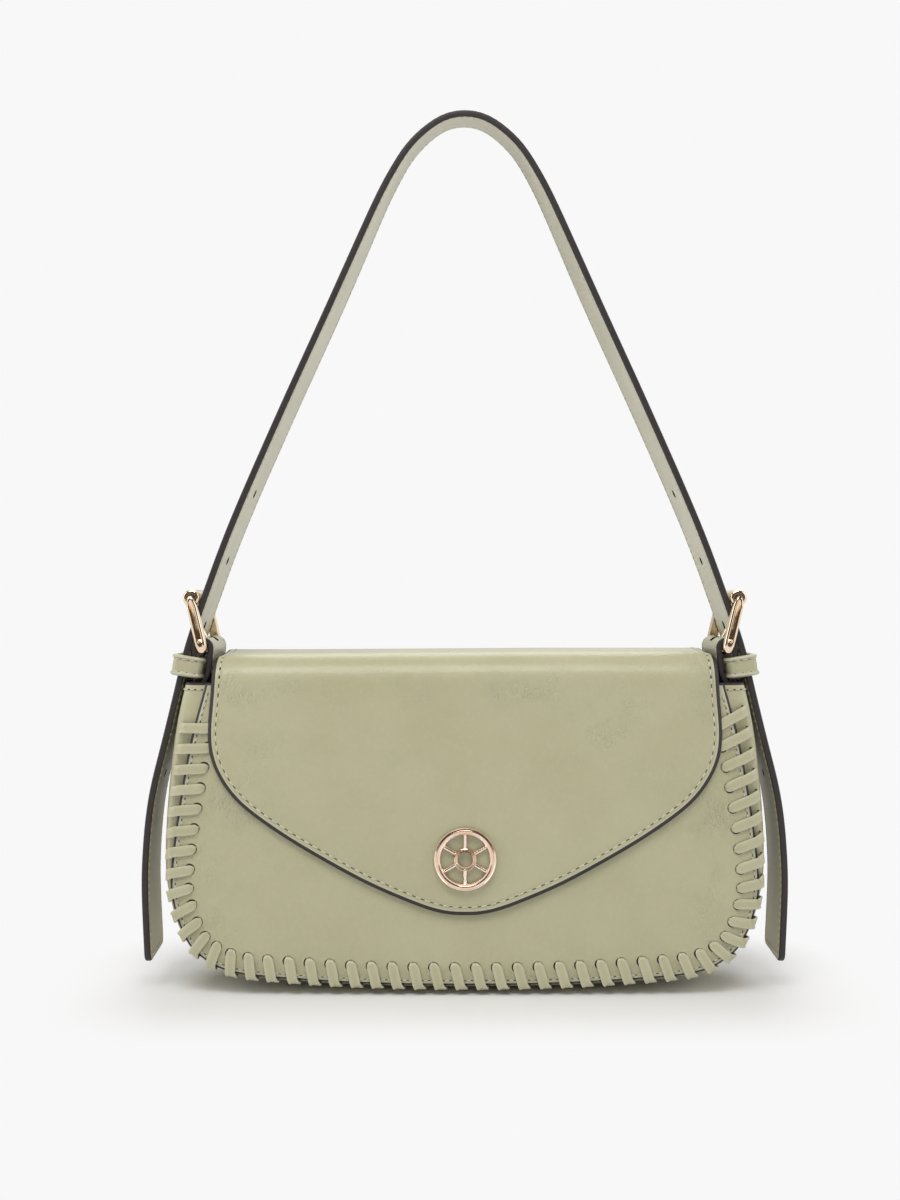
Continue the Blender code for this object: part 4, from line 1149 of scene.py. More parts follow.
FLAP_MID_Y = FLAP_LOW.y + FLAP_THICKNESS / 2
FLAP_TOP_MID = FLAP_HIGH.z - FLAP_THICKNESS / 2
FLAP_ROLL = 13.5 * MM
FLAP_ROLL_FOOT = FLAP_TOP_MID - FLAP_ROLL
FLAP_BACK_RADIUS = 12.5 * MM
FLAP_BACK_Y = BACK_HIGH.y + GAP + FLAP_THICKNESS / 2
FLAP_SEWN_END_Z = 118 * MM
FLAP_STITCH_INSET = 3.8 * MM
FLAP_STITCH_PITCH = 4.3 * MM
FLAP_NEEDLE_HOLE = 1.65 * MM
FLAP_PAINT = 2.1 * MM
FLAP_EDGE_FALL = 0.95 * MM
FLAP_SIDE_FALL = 1.1 * MM
FLAP_BELLY = 0.25 * MM
FLAP_TOP_DIP = 1.2 * MM


def flap_track():
    """Middle line of the flap in the YZ plane: up the front, over the roll and down the back."""
    front = spaced([Vector((FLAP_MID_Y, FLAP_LOW.z)), Vector((FLAP_MID_Y, FLAP_ROLL_FOOT))], 10 * MM)
    over = arc((FLAP_MID_Y + FLAP_ROLL, FLAP_ROLL_FOOT), FLAP_ROLL, 180, 90, 24)
    back_centre = (FLAP_BACK_Y - FLAP_BACK_RADIUS, FLAP_TOP_MID - FLAP_BACK_RADIUS)
    behind = arc(back_centre, FLAP_BACK_RADIUS, 90, 0, 18)
    return Track(front[:-1] + over + behind + [Vector((FLAP_BACK_Y, FLAP_SEWN_END_Z))])


FLAP_TRACK = flap_track()
FLAP_ROLL_START = FLAP_ROLL_Z - FLAP_LOW.z


def flap_wrap(u, v, h, rim):
    """The flap's edges fall back a little towards the panel, and its top dips to the left."""
    free = ramp(FLAP_TRACK.length - 45 * MM - v, 25 * MM)
    fall = FLAP_EDGE_FALL * np.exp(-rim / (5.5 * MM)) * free
    fall = fall + FLAP_SIDE_FALL * ramp(np.abs(u) - 90 * MM, 25 * MM) ** 2 * free
    belly = FLAP_BELLY * np.sin(u * 31) * np.sin(v * 33 + 0.6) * ramp(rim, 20 * MM)
    belly = belly * (1 - hill(u, v + FLAP_LOW.z, EMBLEM_CENTRE, 24 * MM))
    belly = belly * ramp(FLAP_ROLL_START - v, 20 * MM)
    over = ramp(v - FLAP_ROLL_START, 20 * MM) * ramp(FLAP_TRACK.length - 30 * MM - v, 20 * MM)
    belly = belly - over * FLAP_TOP_DIP * np.clip(0.3 - u / (120 * MM), 0, 1)
    place = FLAP_TRACK.place(v, h - fall + belly)
    return np.column_stack([u, place[:, 0], place[:, 1]])


def flap_crease(u, v, rim):
    """Wrinkles along the roll, beside the edge and in two patches."""
    roll = np.exp(-((v - FLAP_ROLL_START - 1 * MM) / (7 * MM)) ** 2)
    side = np.exp(-((rim - 9 * MM) / (7 * MM)) ** 2) * (v > 45 * MM) * 0.8
    patch = hill(u, v, (62 * MM, 86 * MM), 24 * MM) + 0.6 * hill(u, v, (-85 * MM, 72 * MM), 18 * MM)
    return np.clip(0.10 + roll + side + patch, 0, 1)


def flap_outline():
    """The flap's pattern, from its tip round its right and left sides."""
    reach = FLAP_ROLL_START
    half = [(w * FLAP_HIGH.x, share * reach) for share, w in FLAP_TIP_SHARES]
    roll_length = FLAP_ROLL * math.pi / 2 + FLAP_ROLL_FOOT - FLAP_ROLL_Z
    start = half[-1][0]
    for i in range(1, 8):
        half.append((start + (FLAP_CREST_WIDTH - start) * i / 7, reach + roll_length * i / 8))
    half += [(FLAP_CREST_WIDTH, reach + roll_length * 1.6), (FLAP_CREST_WIDTH, FLAP_TRACK.length)]
    right = smooth([(-x, v) for x, v in reversed(half[1:4])] + half, 5)
    right = [p for p in softened(right, 2.5 * MM, 14) if p.x > 0.6 * MM]
    return right + [Vector((-p.x, p.y)) for p in reversed(right)]


def make_flap():
    outline = flap_outline()
    rings = edge_rings(FLAP_THICKNESS, FLAP_PAINT, FLAP_STITCH_INSET, ROUND_EDGE)
    flap = sheet("flap_leather", outline, FLAP_THICKNESS, flap_wrap,
                 [leather(), edge_paint_and_shade(), pale_leather()], None, (4 * MM, 3 * MM), front=rings,
                 crease=flap_crease, seed=0.3)
    stands_for("flap")
    line = inset_line(outline, FLAP_STITCH_INSET)
    half = len(outline) // 2
    sew(line[half:] + line[:half], flap_wrap, FLAP_THICKNESS / 2, pitch=FLAP_STITCH_PITCH,
        edge=FLAP_STITCH_INSET, hole=FLAP_NEEDLE_HOLE, group=FLAP_STITCHES)
    reach = FLAP_SHOULDER_WIDTH - 4 * MM
    across = [Vector((x, FLAP_TRACK.length - STITCH_INSET)) for x in (-reach, reach)]
    sew(across, flap_wrap, FLAP_THICKNESS / 2, group=FLAP_STITCHES)
    return flap


def bend_with_flap(piece):
    """Bakes the piece's place into its mesh."""
    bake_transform(piece)


# Snap and emblem

RIDGE_SHARES = (
    (0, 0), (0, 0.50), (0.05, 0.76), (0.14, 0.93), (0.23, 0.97), (0.33, 0.84), (0.40, 0.58), (0.46, 0.48),
    (0.52, 0.56), (0.60, 0.80), (0.72, 0.98), (0.82, 0.99), (0.92, 0.82), (1, 0.5), (1, 0),
)
RING_BAND = 3.6 * MM
HUB_RADIUS = 5.2 * MM
HUB_BAND = 2.0 * MM
SPOKE_COUNT = 6
SPOKE_HALF_WIDTH = 1.0 * MM
SPOKE_LIFT_SHARE = 0.62
SNAP_BORE = 0.2 * MM


def ring_profile(outer, inner, back, front):
    """Section of a band with two rounded ridges and a groove, as Y and radius."""
    return [(back + (front - back) * lift, outer + (inner - outer) * way) for way, lift in RIDGE_SHARES]


def make_emblem():
    centre = EMBLEM_CENTRE
    outer = (RING_HIGH.x - RING_LOW.x) / 2
    back, front = RING_HIGH.y, RING_LOW.y
    ring = turned_piece("emblem_ring_gold", centre, ring_profile(outer, outer - RING_BAND, back, front),
                        [rose_gold()], FLAP, 96)
    stands_for("emblem_ring")
    hub = turned_piece("hub", centre, ring_profile(HUB_RADIUS, HUB_RADIUS - HUB_BAND, back, front),
                       [rose_gold()], None, 64)
    section = [(math.cos(math.radians(a)), math.sin(math.radians(a))) for a in range(0, 181, 20)]
    spokes = []
    for index in range(SPOKE_COUNT):
        turn = math.tau * index / SPOKE_COUNT
        along = Vector((math.sin(turn), 0, math.cos(turn)))
        side = Vector((math.cos(turn), 0, -math.sin(turn)))
        rings = []
        for distance in np.linspace(HUB_RADIUS - 1.0 * MM, outer - 3.5 * MM, 6):
            middle = Vector((centre.x, back, centre.y)) + along * distance
            rings.append([middle + side * (SPOKE_HALF_WIDTH * x)
                          + Vector((0, (front - back) * SPOKE_LIFT_SHARE * z, 0)) for x, z in section])
        spokes.append(loft("spoke", rings, [rose_gold()], None, angle=METAL_SHARP_ANGLE))
    wheel = joined("emblem_wheel_gold", [hub] + spokes, FLAP)
    stands_for("emblem_wheel")


def make_snap():
    radius = (SOCKET_HIGH.x - SOCKET_LOW.x) / 2
    back, front = SOCKET_HIGH.y + GAP, SOCKET_LOW.y
    socket = [(back, radius), ((back + front) / 2, radius), (front, radius - 0.4 * MM),
              (front, radius - 1.3 * MM), (front + 0.3 * MM, radius - 1.7 * MM),
              (front + 0.3 * MM, 0.9 * MM), (front + 0.1 * MM, SNAP_BORE), (back, SNAP_BORE)]
    radius = (STUD_HIGH.x - STUD_LOW.x) / 2
    back, front = STUD_LOW.y, STUD_HIGH.y
    stud = [(back, radius), ((back + front) / 2, radius), (front, radius - 0.3 * MM), (front, 2.4 * MM),
            (front, 1.6 * MM), (front, SNAP_BORE), (back, SNAP_BORE)]
    for node, profile, body in (("snap_socket", socket, BAG), ("snap_stud", stud, FLAP)):
        part = turned_piece(node + "_steel", EMBLEM_CENTRE, profile, [steel()], body)
        stands_for(node)


# Strap and its loose ends

STRAP_PAINT = 0.7 * MM
STRAP_LEAN = 7.5 * MM
STRAP_LEAN_REACH = 60 * MM
STRAP_END_ABOVE_PIVOT = 5.5 * MM
TAIL_TWIST = 1.8 * MM
TAIL_GAP = 0.1 * MM
BAND_SPACING = 3.5 * MM
BAND_CELL = (3.5 * MM, 6 * MM)
BAND_HALF_WIDTH = STRAP_WIDTH / 2


def strap_half_line():
    """Middle line of the right-hand half of the strap, from the top of the loop to the loose end."""
    top = STRAP_HIGH.z - STRAP_THICKNESS / 2
    low = ROLLER - BUCKLE_OUT * (ROLLER_RADIUS + STRAP_CLEARANCE + STRAP_THICKNESS / 2)
    loop = [(x * low.x, low.y + z * (top - low.y)) for x, z in STRAP_LOOP_SHARES]
    by_bar = (BAR.x + CHAPE_OUTER + STRAP_CLEARANCE / 2 + STRAP_THICKNESS / 2, BAR.y)
    spread = TAIL_SPREAD - TAIL_PIVOT.x
    drop = TAIL_PIVOT.y - TAIL_END_Z
    tail = [(TAIL_PIVOT.x + x * spread, TAIL_PIVOT.y - z * drop) for x, z in TAIL_SHARES]
    half = smooth(loop + [tuple(low), by_bar, tuple(TAIL_PIVOT)] + tail, 6)
    both = softened([Vector((-p.x, p.y)) for p in half[:0:-1]] + half, 2 * MM, 12)
    right = [p for p in both if p.x > 0.5 * MM]
    return [Vector((0, right[0].y))] + right


HALF_LINE = Track(strap_half_line())
STRAP_END = HALF_LINE.nearest(TAIL_PIVOT) - STRAP_END_ABOVE_PIVOT


def prong_seat():
    """Where the prong's middle lies on the roller, and the way to it from the bar."""
    seat = ROLLER + BUCKLE_OUT * (ROLLER_RADIUS + GAP + PRONG_RADIUS)
    return seat, (seat - BAR).normalized()


def prong_crossing():
    """Distance along the half line where the prong goes through the strap."""
    way = prong_seat()[1]
    marks = np.linspace(HALF_LINE.nearest(ROLLER), HALF_LINE.nearest(BAR), 400)
    across = (HALF_LINE.place(marks) - np.array(BAR)) @ np.array((-way.y, way.x))
    return marks[int(np.abs(across).argmin())]


CROSSING = prong_crossing()


def band_wrap(track, side=1, rise=None, spread=None):
    """Wraps a band: U along the track, V across it; its back edge is raised and spread by U."""
    def wrap(u, v, h, rim):
        place = track.place(u, h)
        back = v / STRAP_WIDTH + 0.5
        out = spread(u) * back if spread else 0
        up = rise(u) * back if rise else 0
        return np.column_stack([(place[:, 0] + out) * side, v, place[:, 1] + up])
    return wrap


def band_crease(u, v, rim):
    """Faint wrinkles all along a band, stronger in places."""
    return np.clip(0.15 + 0.25 * np.sin(u * 47 + 3 * np.sin(v * 90)), 0, 1)


def band_outline(start, end, spacing, corners=()):
    """Outline of a band, from its start round its far end, which may have rounded corners."""
    far_end = list(corners) or [Vector((end, -BAND_HALF_WIDTH)), Vector((end, BAND_HALF_WIDTH))]
    first = Vector((start, -BAND_HALF_WIDTH))
    return spaced([first] + far_end + [Vector((start, BAND_HALF_WIDTH)), first], spacing)[:-1]


def band_hole(track, along, side=1, length=STRAP_HOLE_WIDTH):
    """End rings of a hole through a band, rounded and long along it."""
    spot = track.place(along)[0]
    way = track.way(np.array([along]))[0]
    result = []
    for depth in (STRAP_THICKNESS, -STRAP_THICKNESS):
        ring = []
        for x, y in circle(STRAP_HOLE_RADIUS, 20):
            stretch = x + math.copysign((length - STRAP_HOLE_WIDTH) / 2, x)
            place = spot + way * stretch + np.array([-way[1], way[0]]) * depth
            ring.append((place[0] * side, y, place[1]))
        result.append(ring)
    return result


def make_strap():
    half = HALF_LINE.place(np.linspace(0, STRAP_END, 220))
    track = Track([Vector((-x, z)) for x, z in half[:0:-1]] + [Vector((x, z)) for x, z in half])
    middle = track.length / 2
    holes = []
    for side in SIDES.values():
        for index in range(3):
            along = middle + side * (CROSSING - index * STRAP_HOLE_PITCH)
            holes.append(band_hole(track, along, 1, STRAP_HOLE_WIDTH if index else PRONG_SLOT_LENGTH))
    wrap = band_wrap(track, rise=lambda u: STRAP_LEAN * np.exp(-((u - middle) / STRAP_LEAN_REACH) ** 2))
    rings = edge_rings(STRAP_THICKNESS, STRAP_PAINT)
    strap = sheet("strap_leather", band_outline(0, track.length, BAND_SPACING), STRAP_THICKNESS, wrap,
                  [leather(), edge_paint_and_shade(), pale_leather()], BAG, BAND_CELL, rings, rings, band_crease,
                  holes, seed=1.0, worn=0.6)
    stands_for("strap")
    reach = BAND_HALF_WIDTH - STITCH_INSET
    for sign in (1, -1):
        for v in (-reach, reach):
            row = spaced([Vector((2 * MM, v)), Vector((track.length - 2 * MM, v))], 4 * MM)
            sew(row, wrap, STRAP_THICKNESS / 2, sign)


def make_tail(word, side):
    start, end = STRAP_END + TAIL_GAP, HALF_LINE.length
    reach = BAND_HALF_WIDTH - TAIL_CORNER
    corners = arc((end - TAIL_CORNER, -reach), TAIL_CORNER, 270, 360, 6)
    corners += arc((end - TAIL_CORNER, reach), TAIL_CORNER, 0, 90, 6)
    outline = band_outline(start, end, BAND_SPACING, corners)
    below = CROSSING + STRAP_THICKNESS / 2 + GAP
    holes = [band_hole(HALF_LINE, below + index * STRAP_HOLE_PITCH, side) for index in (1, 2)]
    wrap = band_wrap(HALF_LINE, side, spread=lambda u: TAIL_TWIST * ramp(u - start - 8 * MM, 45 * MM))
    rings = edge_rings(STRAP_THICKNESS, STRAP_PAINT)
    tail = sheet("strap_end_" + word + "_leather", outline, STRAP_THICKNESS, wrap,
                 [leather(), edge_paint_and_shade(), dull_leather()], None, BAND_CELL, rings, rings, band_crease,
                 holes, seed=1.6 + 0.2 * side, worn=0.6)
    stands_for("strap_tail_" + word)
    border = [p for p in inset_line(outline, STITCH_INSET) if p.x > start + 3.2 * MM]
    for sign in (1, -1):
        sew(border, wrap, STRAP_THICKNESS / 2, sign, group=TAIL_STITCHES + word)
    return tail


def bend_with_tail(piece):
    """Bakes the piece's place into its mesh."""
    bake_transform(piece)


# Chapes and keepers

CHAPE_SEAM_LENGTH = 19.5 * MM
CHAPE_PAINT = 0.45 * MM
CHAPE_ROW_START = 24 * MM
CHAPE_CELL = (1.4 * MM, 6 * MM)
CHAPE_SPACING = 1.2 * MM
CHAPE_SLOT_HALF_WIDTH = 3.0 * MM
KEEPER_MIDDLE = (KEEPER_LOW.z + KEEPER_HIGH.z) / 2
KEEPER_LEAN = math.radians(9)
KEEPER_HALF_HEIGHT = (KEEPER_HIGH.z - KEEPER_LOW.z) / 2 + 0.6 * MM
KEEPER_CORNER = 0.8 * MM
KEEPER_STITCH_PITCH = 3.6 * MM
KEEPER_NEEDLE_HOLE = 0.6 * MM
KEEPER_SHARP_ANGLE = 60
KEEPER_SHARES = (
    (0, 0.05), (0, 0.80), (0.06, 1.16), (0.15, 1.44), (0.25, 1.44), (0.34, 1.14), (0.41, 0.92),
    (0.52, 1.00), (0.75, 1.04), (1, 1.05),
)


def web_inner_x(z):
    """X of the gusset's inner face at a height, at its front shoulder."""
    rising = [p for p in RAIL if p.x > 0]
    x = float(np.interp(z, [p.y for p in rising], [p.x for p in rising]))
    return x + bulge_at(z) - GUSSET_THICKNESS


def chape_line():
    """Middle line of the folded tab: up outside, round the buckle's bar and down inside."""
    half = CHAPE_THICKNESS / 2
    low_z = BODY_TOP - CHAPE_SEAM_LENGTH
    outer_low = Vector((web_inner_x(low_z) - half - 2 * GAP, low_z))
    outer_top = Vector((min(web_inner_x(BODY_TOP) - half - 2 * GAP, OUTER_LEG_X), BODY_TOP))
    pitch = Vector((CHAPE_THICKNESS + GAP, 0))
    keeper_low = Vector((OUTER_LEG_X, KEEPER_LOW.z))
    inner_slack = Vector((INNER_LEG_X + CHAPE_THICKNESS / 3, KEEPER_MIDDLE))
    inner_join = keeper_low - Vector((2 * CHAPE_THICKNESS + 2 * GAP, CHAPE_THICKNESS / 3))
    meeting = outer_top.lerp(outer_low, 0.2)
    loop = arc(BAR, CHAPE_RADIUS, 0, 180, 20)
    line = smooth([outer_low, outer_top, keeper_low], 6)[:-1] + [keeper_low] + loop
    return line + smooth([inner_slack, inner_join, meeting - pitch, outer_low - pitch], 6)


def make_chape(word, side):
    track = Track(chape_line())
    wrap = band_wrap(track, side)
    low = BAR.y - PRONG_EYE_RADIUS - GAP
    high = BAR.y + CHAPE_OUTER + 2 * MM
    reach = CHAPE_OUTER + 1.5 * MM
    inner = -PRONG_EYE_RADIUS - 0.2 * MM
    corners = ((inner, low), (reach, low), (reach, high), (inner, high))
    slot = [[((BAR.x + x) * side, y, z) for x, z in corners]
            for y in (-CHAPE_SLOT_HALF_WIDTH, CHAPE_SLOT_HALF_WIDTH)]
    outline = band_outline(0, track.length, CHAPE_SPACING)
    chape = sheet("chape_" + word + "_leather", outline, CHAPE_THICKNESS, wrap,
                  [pale_leather(), edge_paint_and_shade(), leather()], BAG, CHAPE_CELL,
                  edge_rings(CHAPE_THICKNESS, CHAPE_PAINT, 0), edge_rings(CHAPE_THICKNESS, CHAPE_PAINT),
                  band_crease, [slot], seed=2.2 + 0.3 * side)
    stands_for("chape_" + word)
    across = BAND_HALF_WIDTH - STITCH_INSET
    for v in (-across, across):
        row = [Vector((CHAPE_ROW_START, v)), Vector((track.length - CHAPE_ROW_START, v))]
        sew(spaced(row, 2 * MM), wrap, CHAPE_THICKNESS / 2, -1)


def keeper_outline():
    """Inner outline of the keeper in the XY plane, closed."""
    low, high = KEEPER_LOW.x + KEEPER_THICKNESS - 0.3 * MM, KEEPER_HIGH.x - KEEPER_THICKNESS
    reach = KEEPER_HIGH.y - KEEPER_THICKNESS
    corner = KEEPER_CORNER
    points = []
    for x, y, start in ((high - corner, reach - corner, 0), (low + corner, reach - corner, 90),
                        (low + corner, corner - reach, 180), (high - corner, corner - reach, 270)):
        points += arc((x, y), corner, start, start + 90, 6)
    return spaced(points + [points[0]], 2 * MM)


def leaned(x, y, rise, side):
    """Places on a keeper, which is turned square to the strap that it holds."""
    middle = (KEEPER_LOW.x + KEEPER_HIGH.x) / 2
    sine, cosine = math.sin(KEEPER_LEAN), math.cos(KEEPER_LEAN)
    return np.column_stack([(middle + (x - middle) * cosine - rise * sine) * side, y,
                            KEEPER_MIDDLE + (x - middle) * sine + rise * cosine])


def make_keeper(word, side):
    track = Track(keeper_outline())
    half = KEEPER_HALF_HEIGHT
    section = [((share - 1) * half, out * KEEPER_THICKNESS) for share, out in KEEPER_SHARES]
    section += [(-z, out) for z, out in reversed(section[:-1])]

    def wrap(u, v, h, rim):
        place = track.place(u, -h)
        return leaned(place[:, 0], place[:, 1], v, side)

    rise, lift = np.array(section).T
    rings = []
    for mark in track.marks[:-1]:
        spot = track.place(mark)[0]
        way = track.way(np.array([mark]))[0]
        rings.append(leaned(spot[0] + way[1] * lift, spot[1] - way[0] * lift, rise, side))
    around = np.concatenate([[0], np.cumsum([0.9 * MM] * len(section))])
    keeper = loft("keeper_" + word + "_leather", rings, [leather(), leather()], BAG, closed_path=True,
                  marks=list(track.marks), around=around, seed=3.0 + 0.3 * side, angle=KEEPER_SHARP_ANGLE)
    rims = [half - abs(z) for z in rise]
    # The keeper's rolled top and bottom edges are paled, partly as wear and partly as a painted highlight.
    give_attributes(keeper, rim=np.tile(rims, len(rings)), worn=1.0, crease=0.3)
    stands_for("keeper_" + word)
    for v in (-0.6 * half, 0.6 * half):
        line = spaced([Vector((0, v)), Vector((track.length, v))], 3 * MM)
        sew(line, wrap, KEEPER_THICKNESS + GROOVE_DEPTH, pitch=KEEPER_STITCH_PITCH, hole=KEEPER_NEEDLE_HOLE)


# Buckles

ARM_WIDTH = 5.2 * MM
ARM_THICKNESS = 3.8 * MM
ARM_Y = FRAME_HIGH.y - ARM_THICKNESS / 2
ARM_SHARES = (
    (-1.0, -0.45), (-1.0, 0.10), (-0.95, 0.48), (-0.84, 0.78), (-0.68, 0.96), (-0.54, 1.0), (-0.40, 0.90),
    (-0.29, 0.58), (-0.22, 0.18), (-0.14, 0.02), (0.0, 0.0),
)
ARM_DRAWN_LENGTH = 23.4 * MM
ARM_STOPS = (
    (-2.3, 0.30, 0.55, 0), (-2.0, 0.52, 0.72, 0), (-1.3, 0.74, 0.88, 0), (-0.2, 0.90, 0.97, 0),
    (1.2, 0.98, 1.0, 0.0), (2.4, 1.0, 1.0, 0.1), (3.4, 1.0, 1.0, 0.7), (4.6, 1.0, 1.0, 1.0),
    (9.0, 1.0, 1.0, 1.0), (14.5, 1.0, 1.0, 1.0), (18.0, 1.0, 1.0, 1.0), (19.6, 0.96, 0.97, 0.9),
    (21.0, 0.86, 0.92, 0.45), (22.4, 0.68, 0.84, 0.05), (23.5, 0.46, 0.68, 0.0), (24.2, 0.24, 0.4, 0.0),
)
ROLLER_CORNER = 1.2 * MM
ROLLER_FACE_RADIUS = ROLLER_RADIUS - 1.25 * MM
PRONG_PAST_ROLLER = 3.0 * MM
PRONG_STOPS = (
    (0, 1), (0.2, 1), (0.4, 1), (0.6, 1), (0.75, 1), (0.84, 1), (0.90, 0.98), (0.94, 0.9), (0.97, 0.78),
    (0.99, 0.55), (1.0, 0.25),
)
EYE_HALF_WIDTH = 2.2 * MM
EYE_BORE_ROUND = 0.3 * MM
EYE_ROUND = 0.6 * MM


def arm_section(half_width, half_depth, groove):
    """Section of a buckle arm: two rounded ridges and a groove outside, flat inside."""
    points = []
    for across, up in ARM_SHARES:
        rise = up if across < -0.5 else 1 - (1 - up) * groove
        points.append((across * half_width, rise * half_depth))
    right = [(-a, y) for a, y in reversed(points[:-1])]
    return points + right + [(0.75 * half_width, -half_depth), (-0.75 * half_width, -half_depth)]


def make_arm(side, y_side):
    """One arm, from a squared heel under the bar to a narrow nose on the roller's end."""
    out = BUCKLE_OUT
    length = (ROLLER - BAR).length
    rings = []
    for distance, wide, deep, groove in ARM_STOPS:
        place = BAR + BUCKLE_UP * (distance * MM * length / ARM_DRAWN_LENGTH)
        rings.append([((place.x + out.x * a) * side, y_side * (ARM_Y + y * deep), place.y + out.y * a)
                      for a, y in arm_section(ARM_WIDTH / 2 * wide, ARM_THICKNESS / 2, groove)])
    return loft("arm", rings, [gold()], None, angle=SLIM_SHARP_ANGLE)


def make_rod(centre, radius, sides, side):
    """A round rod between the middles of the arms."""
    profile = [(-ARM_Y, radius), (ARM_Y, radius), (ARM_Y, AXIS_RADIUS), (-ARM_Y, AXIS_RADIUS)]
    return turned_piece("rod", centre, profile, [gold()], None, sides, side)


def make_buckle(word, side):
    parts = [make_arm(side, y_side) for y_side in (-1, 1)]
    parts += [make_rod(BAR, BAR_RADIUS, 40, side), make_rod(ROLLER, PIN_RADIUS, 32, side)]
    buckle = joined("buckle_" + word + "_gold", parts, BAG)
    stands_for("buckle_" + word + "_frame")


def make_roller(word, side):
    reach = ROLLER_HIGH.y
    bore = PIN_RADIUS + RUNNING_GAP
    corner = arc((-reach + ROLLER_CORNER, ROLLER_RADIUS - ROLLER_CORNER), ROLLER_CORNER, 180, 90, 6)
    half = [(-reach, bore), (-reach, ROLLER_FACE_RADIUS)] + [(p.x, p.y) for p in corner]
    profile = half + [(-y, radius) for y, radius in reversed(half)]
    roller = turned_piece("roller_" + word + "_gold", ROLLER, profile, [gold()], "roller_" + word + "_body",
                          64, side)
    stands_for("roller_" + word)


def make_prong(word, side):
    """Round pin that goes through the strap and lies on the roller, with an eye round the bar."""
    seat, way = prong_seat()
    start = BAR + way * (BAR_RADIUS + PRONG_EYE_RADIUS) / 2
    tip = seat + BUCKLE_UP * PRONG_PAST_ROLLER
    track = Track(smooth([start, start.lerp(seat, 0.5), seat, tip], 8))
    rings = []
    for share, size in PRONG_STOPS:
        spot = track.place(track.length * share)[0]
        along = track.way(np.array([track.length * share]))[0]
        rings.append([((spot[0] + along[1] * x * size) * side, y * size, spot[1] - along[0] * x * size)
                      for x, y in circle(PRONG_RADIUS, 20)])
    shaft = loft("shaft", rings, [gold()], None, angle=SLIM_SHARP_ANGLE)
    bore = BAR_RADIUS + RUNNING_GAP
    half = [(-EYE_HALF_WIDTH + EYE_BORE_ROUND, bore), (-EYE_HALF_WIDTH, (bore + PRONG_EYE_RADIUS) / 2),
            (-EYE_HALF_WIDTH + EYE_ROUND, PRONG_EYE_RADIUS)]
    profile = half + [(-y, radius) for y, radius in reversed(half)]
    eye = turned_piece("eye", BAR, profile, [gold()], None, 40, side)
    prong = joined("prong_" + word + "_gold", [eye, shaft], "prong_" + word + "_body")
    stands_for("prong_" + word)


# Making everything

make_front_panel()
make_back_panel()
make_gusset()
make_lace()
make_linings()
make_pocket()
make_snap()
make_emblem()
flap_piece = make_flap()
make_strap()
tails = {word: make_tail(word, side) for word, side in SIDES.items()}
for word, side in SIDES.items():
    make_chape(word, side)
    make_keeper(word, side)
    make_buckle(word, side)
    make_roller(word, side)
    make_prong(word, side)
threads = finish_threads()
bend_with_flap(flap_piece)
bend_with_flap(threads[FLAP_STITCHES])
for word, side in SIDES.items():
    bend_with_tail(tails[word])
    bend_with_tail(threads[TAIL_STITCHES + word])


# Studio

BACKGROUND = (0.939, 0.939, 0.939, 1)
# The lit paper near the bag renders darker than the background's white: a painted shadow round the
# footprint, on top of the real one.
FLOOR_COLOUR = (0.845, 0.835, 0.825, 1)
FOOTPRINT = (0.120, 0.030, 0.010)
FLOOR_REACH = 4.0
FLOOR_FADE_FROM = 5 * MM
FLOOR_FADE_TO = 75 * MM
SOFT_ROOM = (0.37, 0.37, 0.37, 1)
GLOSSY_ROOM = (0.075, 0.062, 0.055, 1)
LENS_LENGTH = 42.7
CAMERA_PLACE = (-0.00675, -0.668, 0.1779)
BAG_MIDDLE = (0, 0, 0.15)
DIM_SHARE = 0.6

# Each softbox's place, width, height and power
SOFTBOXES = (
    ("front_softbox", (-0.2, -0.95, 1.5), 1.3, 0.7, 15),
    ("left_softbox", (-1.3, -0.35, 0.6), 0.7, 1.2, 5.5),
    ("right_softbox", (1.3, -0.5, 0.7), 0.7, 1.2, 5),
    ("back_softbox", (0.1, 1.0, 1.3), 1.4, 0.7, 7),
)


def make_floor():
    """A level floor that keeps the bag's shadow and fades to the background's white further out; near the
    bag its paper renders dimmer than that white, a painted shadow round the footprint.
    """
    bm = bmesh.new()
    corners = ((-1, -1), (1, -1), (1, 1), (-1, 1))
    bm.faces.new([bm.verts.new((x * FLOOR_REACH, y * FLOOR_REACH, 0)) for x, y in corners])
    surface = bpy.data.materials.new("floor")
    surface.use_nodes = True
    surface.node_tree.nodes.clear()
    nodes = Nodes(surface.node_tree)
    place = nodes.add("ShaderNodeTexCoord", {}, {}, 3)
    beside = nodes.add("ShaderNodeVectorMath", {"operation": "ABSOLUTE"}, {0: place})
    outside = nodes.add("ShaderNodeVectorMath", {"operation": "SUBTRACT"}, {0: beside, 1: FOOTPRINT})
    outside = nodes.add("ShaderNodeVectorMath", {"operation": "MAXIMUM"}, {0: outside, 1: (0, 0, 0)})
    away = nodes.add("ShaderNodeVectorMath", {"operation": "LENGTH"}, {0: outside}, 1)
    camera, glossy, through = nodes.rays()
    seen = camera.at_least(glossy).at_least(through)
    fade = nodes.step(away, FLOOR_FADE_FROM, FLOOR_FADE_TO) * seen
    paper = nodes.add("ShaderNodeBsdfPrincipled", {}, {"Base Color": FLOOR_COLOUR, "Roughness": 0.7,
                                                       "Specular IOR Level": 0.1})
    white = nodes.add("ShaderNodeEmission", {}, {"Color": BACKGROUND, "Strength": 1.0})
    both = nodes.add("ShaderNodeMixShader", {}, {0: fade, 1: paper, 2: white})
    nodes.add("ShaderNodeOutputMaterial", {}, {"Surface": both})
    made(bm, "floor", [surface], None)


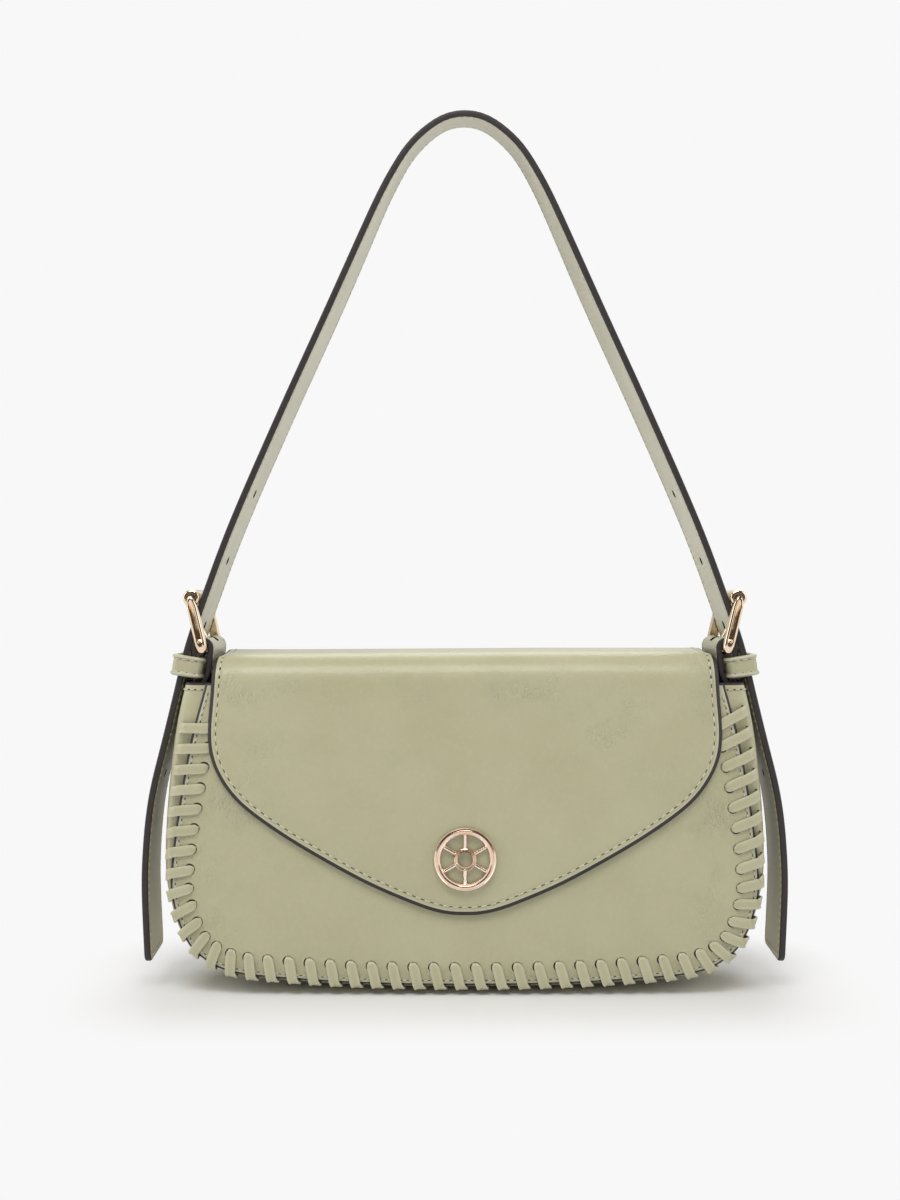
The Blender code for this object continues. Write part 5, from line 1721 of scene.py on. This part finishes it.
def make_world():
    """A white backdrop that reflections see dimmer to the left, and a soft grey light."""
    world = bpy.data.worlds.new("studio")
    bpy.context.scene.world = world
    world.use_nodes = True
    world.node_tree.nodes.clear()
    nodes = Nodes(world.node_tree)
    direction = nodes.add("ShaderNodeTexCoord", {}, {}, 0)
    towards_right = nodes.add("ShaderNodeSeparateXYZ", {}, {"Vector": direction}, 0)
    towards_back = nodes.add("ShaderNodeSeparateXYZ", {}, {"Vector": direction}, 1)
    right_share = nodes.step(towards_right, -0.3, 0.3)
    backdrop = nodes.step(towards_back, -0.35, 0.1) * (right_share * (1 - DIM_SHARE) + DIM_SHARE)
    camera, glossy, through = nodes.rays()
    shown = camera.at_least(glossy.at_least(through) * backdrop)
    seen = nodes.add("ShaderNodeBackground", {}, {"Color": BACKGROUND, "Strength": 1.0})
    room = nodes.mix(glossy, SOFT_ROOM, GLOSSY_ROOM)
    light = nodes.add("ShaderNodeBackground", {}, {"Color": room, "Strength": 1.0})
    both = nodes.add("ShaderNodeMixShader", {}, {0: shown, 1: light, 2: seen})
    nodes.add("ShaderNodeOutputWorld", {}, {"Surface": both})


def make_softbox(name, place, width, height, power):
    """A rectangular lamp that faces the middle of the bag."""
    lamp = bpy.data.lights.new(name, "AREA")
    lamp.shape = "RECTANGLE"
    lamp.size, lamp.size_y = width, height
    lamp.energy = power
    holder = bpy.data.objects.new(name, lamp)
    holder.location = place
    holder.rotation_euler = (Vector(BAG_MIDDLE) - Vector(place)).to_track_quat("-Z", "Y").to_euler()
    bpy.context.scene.collection.objects.link(holder)


def make_camera():
    """The photograph's camera, level and just left of the bag's middle."""
    lens = bpy.data.cameras.new("camera")
    lens.sensor_fit = "AUTO"
    lens.sensor_width = 36.0
    lens.lens = LENS_LENGTH
    holder = bpy.data.objects.new("camera", lens)
    holder.location = CAMERA_PLACE
    holder.rotation_euler = (math.radians(90), 0, 0)
    bpy.context.scene.collection.objects.link(holder)
    bpy.context.scene.camera = holder


make_floor()
make_world()
for softbox in SOFTBOXES:
    make_softbox(*softbox)
make_camera()
bpy.context.scene.view_settings.view_transform = "Standard"
